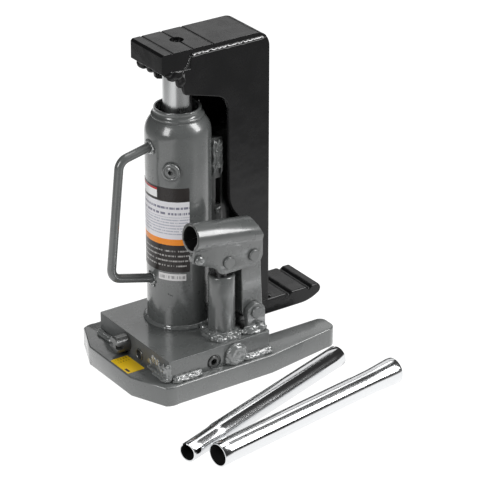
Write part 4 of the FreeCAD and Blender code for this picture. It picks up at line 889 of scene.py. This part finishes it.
def socket():
    """The rolled socket, its mouth drawn together by the clamp screw."""
    bm = node_copy("handle_socket")
    cuts = [(Vector((0.0, along, 0.0)), (0.0, 1.0, 0.0)) for along in (-14.0, -11.0, -8.0, -5.0, -2.0, 1.0)]
    cuts += [(Vector((0.0, 0.0, high)), (0.0, 0.0, 1.0)) for high in (116.0, 113.5, 111.0, 108.5, 106.0)]
    for spot, facing in cuts:
        bmesh.ops.bisect_plane(bm, geom=bm.verts[:] + bm.edges[:] + bm.faces[:], dist=0.001 * MM,
                               plane_co=spot * MM, plane_no=facing)
    soften(bm, 0.4, 2, 28.0)
    slope = SOCKET_SLOPE
    # The socket's bore is darkened as painted shade.
    paint_shade_in_bore(bm, (PUMP[0], 0.0, SOCKET_AXIS), (0.0, math.cos(slope), -math.sin(slope)), 9.9)
    for vert in bm.verts:
        across, along, high = vert.co / MM
        below = min(max((SOCKET_AXIS - along * math.tan(slope) + 1.0 - high) / 13.0, 0.0), 1.0)
        ahead = min(max((3.0 - along) / 17.0, 0.0), 1.0)
        pull = below * below * (3 - 2 * below) * ahead * ahead * (3 - 2 * ahead)
        if across > PUMP[0]:
            vert.co.x -= 3.0 * pull * MM
        elif high < 114.0 and along < -5.0:
            vert.co.y = (-5.0 + 0.04 * (along + 5.0)) * MM
    settle("handle_socket_rolled", bm, "socket", GREY, ("handle_socket",), 40.0, BORE_PAINTED_SHADE)
    front = 17.0
    mouth = (PUMP[0], -front, SOCKET_AXIS + front * math.tan(slope))
    along_bore = Matrix.Rotation(math.radians(-98), 4, "X")
    profile = [(9.25, 13.0), (9.2, 0.5), (9.6, 0.0), (10.9, 0.0), (11.25, 0.4), (11.25, 13.0), (10.6, 13.6)]
    ring = lathed(profile, mouth, along_bore, 96)
    # The mouth ring's bore is darkened as painted shade.
    paint_shade_in_bore(ring, mouth, along_bore.to_3x3().col[2], 9.3)
    settle("handle_socket_mouth", ring, "socket", GREY, (), 40.0, BORE_PAINTED_SHADE)
    for node in ("socket_clamp_screw", "socket_clamp_nut"):
        bolt = soften(node_copy(node), 0.4, 2)
        for vert in bolt.verts:
            vert.co.x += (13.5 if vert.co.x < PUMP[0] * MM else -2.4) * MM
        settle(node + "_drawn_in", bolt, "socket", GREY_PAINTED_HIGHLIGHT, (node,), 40.0)


def linkage():
    """The lever's socket with its pins, its link and the lugs."""
    socket()
    for node, body, edge in (("plunger_pin", "socket", 0.45), ("socket_pin", "socket", 0.45),
                             ("pump_link", "link", 1.0), ("link_pin", "jack_base", 0.45),
                             ("link_lug_near", "jack_base", 0.9), ("link_lug_far", "jack_base", 0.9)):
        softened(node, body, GREY, edge, 3)


# ---------------------------------------------------------------- valves on the block

def valves():
    """The release knob, the relief screw and the two plugs in the block."""
    softened("release_valve_spindle", "release_valve", GREY_DARK, 0.6, 3)
    softened("relief_screw", "jack_base", GREY_DARK, 0.3, 2)
    profile = [(0, -8), (5.2, -8), (5.2, 0), (8.2, 0.2), (8.7, 1.4), (8.2, 3.1), (7.2, 4.3), (6.3, 5.0),
               (5.2, 5.3), (4.2, 4.7), (2.8, 4.4), (1.2, 4.8), (0, 4.9)]
    bm = lathed(profile, (BLOCK_NEAR, 9.4, 23.9), AXIS_X, 72)
    roughen([vert for vert in bm.verts if vert.co.x > 61.4 * MM], 3.2, 0.6, 3)
    settle("delivery_boss", bm, "jack_base", GREY_PAINTED_HIGHLIGHT, ("delivery_plug",), 60.0)
    ring = [(62.3, 9.8 + 8.2 * math.cos(turn), 23.4 + 8.0 * math.sin(turn))
            for turn in [math.radians(step * 10) for step in range(38)]]
    lumps = (((62.0, 16.0, 20.5), (2.6, 4.6, 4.6)), ((62.8, 8.0, 18.0), (3.2, 5.4, 2.6)),
             ((62.6, 18.5, 18.2), (2.8, 4.0, 2.4)), ((62.2, 3.5, 19.5), (2.2, 3.4, 3.0)))
    welded("delivery_boss_bead", [(ring, 1.7)], "jack_base", "grey_paint", GREY_PAINTED_HIGHLIGHT, (), 52, lumps,
           lump=0.45)
    profile = [(0, 0), (4.9, 0), (4.9, 8.8), (4.6, 9.1), (3.9, 9.1), (3.5, 8.7), (3.4, 6.0), (1.6, 5.4),
               (1.4, 3.0), (0, 3.0)]
    bm = lathed(profile, (19.0, -40.5, 21.7), AXIS_FRONT, 56)
    settle("intake_plug_cup", bm, "jack_base", GREY_DARK, ("intake_plug",), 40.0)


# ---------------------------------------------------------------- handle tubes

def upper_tube():
    """The flared tube of the pump handle, on the floor beside the jack."""
    out, wall, long = 9.2, 1.3, 179.5
    profile = [(out - 0.25, 0), (out, 0.4)]
    profile += [(out, 8.0 * step) for step in range(1, 19)]
    flare = [(9.3, 155.0), (9.5, 160.0), (9.8, 165.0), (10.1, 170.0), (10.4, 175.0), (10.5, 178.8),
             (10.3, long)]
    profile += flare
    profile += [(radius - wall + 0.1, height) for radius, height in reversed(flare)]
    profile += [(out - wall, 140.0), (out - wall, 0.4), (out - wall + 0.25, 0)]
    lift = math.asin((10.5 - out) / (long - 4))
    turn = Matrix.Rotation(UPPER_HEADING, 4, "Z") @ Matrix.Rotation(math.radians(-90) + lift, 4, "X")
    spot = (157.7, -71.2, out)
    bm = lathed(profile, spot, turn, 128)
    # The tube's bore is darkened as painted shade.
    paint_shade_in_bore(bm, spot, turn.to_3x3().col[2], out)
    settle("upper_tube_drawn", bm, "upper_tube", UPPER_ZINC, ("handle_tube_upper",), 40.0,
           BORE_PAINTED_SHADE)


def lower_tube():
    """The tube with a drawn-down, notched end, on the floor behind the other one."""
    out, wall, long = 8.4, 1.4, 182.3
    profile = [(7.1, 0), (7.3, 0.4), (7.4, 10), (7.5, 20), (7.7, 28), (7.9, 31), (8.3, 33.2), (out, 36)]
    profile += [(out, 36 + 9.0 * step) for step in range(1, 16)]
    profile += [(out, long - 0.4), (out - 0.25, long), (out - wall + 0.25, long), (out - wall, long - 0.4),
                (out - wall, 34), (7.8 - wall, 30), (7.3 - wall, 0.4), (7.5 - wall, 0)]
    turn = (Matrix.Rotation(LOWER_HEADING, 4, "Z") @ Matrix.Rotation(math.radians(-90), 4, "X")
            @ Matrix.Rotation(math.radians(42.0), 4, "Z"))
    spot = (141.4, -86.4, out)
    bm = lathed(profile, spot, turn, 128)
    # The tube's bore is darkened as painted shade.
    paint_shade_in_bore(bm, spot, turn.to_3x3().col[2], 7.2)
    piece = settle("lower_tube_drawn", bm, "lower_tube", LOWER_ZINC, ("handle_tube_lower",),
                   40.0, BORE_PAINTED_SHADE)
    notch = block_bm((-1.7, 2.0, -1.0), (1.7, 18.0, 3.2))
    low_left = Matrix.Rotation(math.radians(115.0), 4, "Z")
    bmesh.ops.transform(notch, matrix=Matrix.Translation(Vector(spot) * MM) @ turn @ low_left,
                        verts=notch.verts)
    less(piece, notch)


# ---------------------------------------------------------------- carried-over nodes

def carried_over():
    """Finishes for the CAD nodes that keep their own shape."""
    finishes = {
        STEEL: ("pressure_cylinder", "piston", "piston_nut", "pump_gland_ring", "relief_spring",
                "relief_ball", "delivery_spring", "delivery_ball", "release_valve_ball", "cylinder_gasket"),
        DARK_STEEL: ("top_nut", "link_pin_clip", "socket_pin_clips", "socket_pin_washers"),
        NITRILE: ("rod_seal", "ram_wiper", "piston_cup_seal", "plunger_seal", "release_valve_oring"),
    }
    for finish, nodes in finishes.items():
        for node in nodes:
            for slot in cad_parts[node].material_slots:
                slot.material = finish


# ---------------------------------------------------------------- stage and light

def pale_floor():
    """A plain pale floor. What it sends onto the jack is strongest along a strip."""
    bm = bmesh.new()
    bmesh.ops.create_grid(bm, x_segments=1, y_segments=1, size=6.0)
    mesh = bpy.data.meshes.new("floor")
    bm.to_mesh(mesh)
    bm.free()
    floor = bpy.data.objects.new("floor", mesh)
    bpy.context.scene.collection.objects.link(floor)
    pale = Finish("pale_floor", (0.15, 0.15, 0.15), roughness=0.9, specular=0.0)
    parts = pale.node("ShaderNodeSeparateXYZ")
    pale.join(pale.place, parts.inputs[0])
    east, north = parts.outputs["X"], parts.outputs["Y"]
    aside = pale.sum(pale.sum(east, 0.565, "MULTIPLY"), pale.sum(north, 0.825, "MULTIPLY"))
    ahead = pale.sum(pale.sum(east, 0.825, "MULTIPLY"), pale.sum(north, -0.565, "MULTIPLY"))
    beyond, beside = pale.between(ahead, 0.0, 1.0, 0.2, 0.25), pale.between(aside, 0.0, 1.0, -0.13, -0.03)
    dim = pale.sum(beyond, beside, "MULTIPLY")
    lit = pale.sum(1.0, dim, "SUBTRACT")
    lit = pale.sum(lit, pale.between(aside, 1.0, 0.0, 0.31, 0.42), "MULTIPLY")
    lit = pale.sum(lit, pale.between(aside, 0.0, 1.0, -0.55, -0.4), "MULTIPLY")
    lit = pale.sum(lit, pale.node("ShaderNodeLightPath").outputs["Is Camera Ray"], "MAXIMUM")
    pale.surface.inputs["Emission Color"].default_value = (1.0, 1.0, 1.0, 1.0)
    pale.join(pale.between(lit, 0.16, 1.0, 0.0, 1.0), pale.surface.inputs["Emission Strength"])
    mesh.materials.append(pale.material)


def studio():
    """A studio that is pale to the eye and nearly dark as a light, lit by five soft boxes."""
    world = bpy.data.worlds.new("studio")
    world.use_nodes = True
    bpy.context.scene.world = world
    sky = world.node_tree.nodes["Background"]
    sky.inputs["Color"].default_value = (1.0, 1.0, 1.0, 1.0)
    seen = world.node_tree.nodes.new("ShaderNodeLightPath")
    strength = world.node_tree.nodes.new("ShaderNodeMath")
    strength.operation = "MAXIMUM"
    strength.inputs[1].default_value = 0.035
    world.node_tree.links.new(seen.outputs["Is Camera Ray"], strength.inputs[0])
    world.node_tree.links.new(strength.outputs[0], sky.inputs["Strength"])
    for name, turn, rise, away, size, shine in (
            ("right_box", 45.0, 36.0, 1.5, (0.5, 1.15), 11.0),
            ("left_box", -74.0, 30.0, 1.5, (0.5, 0.9), 8.0),
            ("top_box", 100.0, 76.0, 1.5, (0.75, 0.9), 4.0),
            ("high_box", 128.0, 52.0, 1.7, (0.7, 0.5), 2.0),
            ("back_box", 146.0, 28.0, 2.1, (1.7, 0.8), 0.9)):
        lamp = bpy.data.lights.new(name, "AREA")
        lamp.shape = "RECTANGLE"
        lamp.size, lamp.size_y = size
        lamp.energy = shine * math.pi * size[0] * size[1]
        light = bpy.data.objects.new(name, lamp)
        around, above = math.radians(turn), math.radians(rise)
        level = math.cos(above)
        aim = Vector((math.cos(around) * level, math.sin(around) * level, math.sin(above)))
        light.location = aim * away + Vector((0.0, 0.0, 0.1))
        light.rotation_euler = aim.to_track_quat("Z", "Y").to_euler()
        bpy.context.scene.collection.objects.link(light)
    look = bpy.context.scene.view_settings
    look.view_transform = "Standard"


camera()
base()
reservoir()
plug()
wrapped("rating_label_vinyl", 81.5, 69.0, -126.0, -14.0, label_vinyl(), "rating_label", 2.2)
wrapped("serial_tag_vinyl", 74.5, 5.5, -71.0, -21.0, tag_vinyl(), "serial_tag", 0.3)
carry_handle()
guide()
ram()
claw()
pump()
linkage()
valves()
upper_tube()
lower_tube()
carried_over()
pale_floor()
studio()
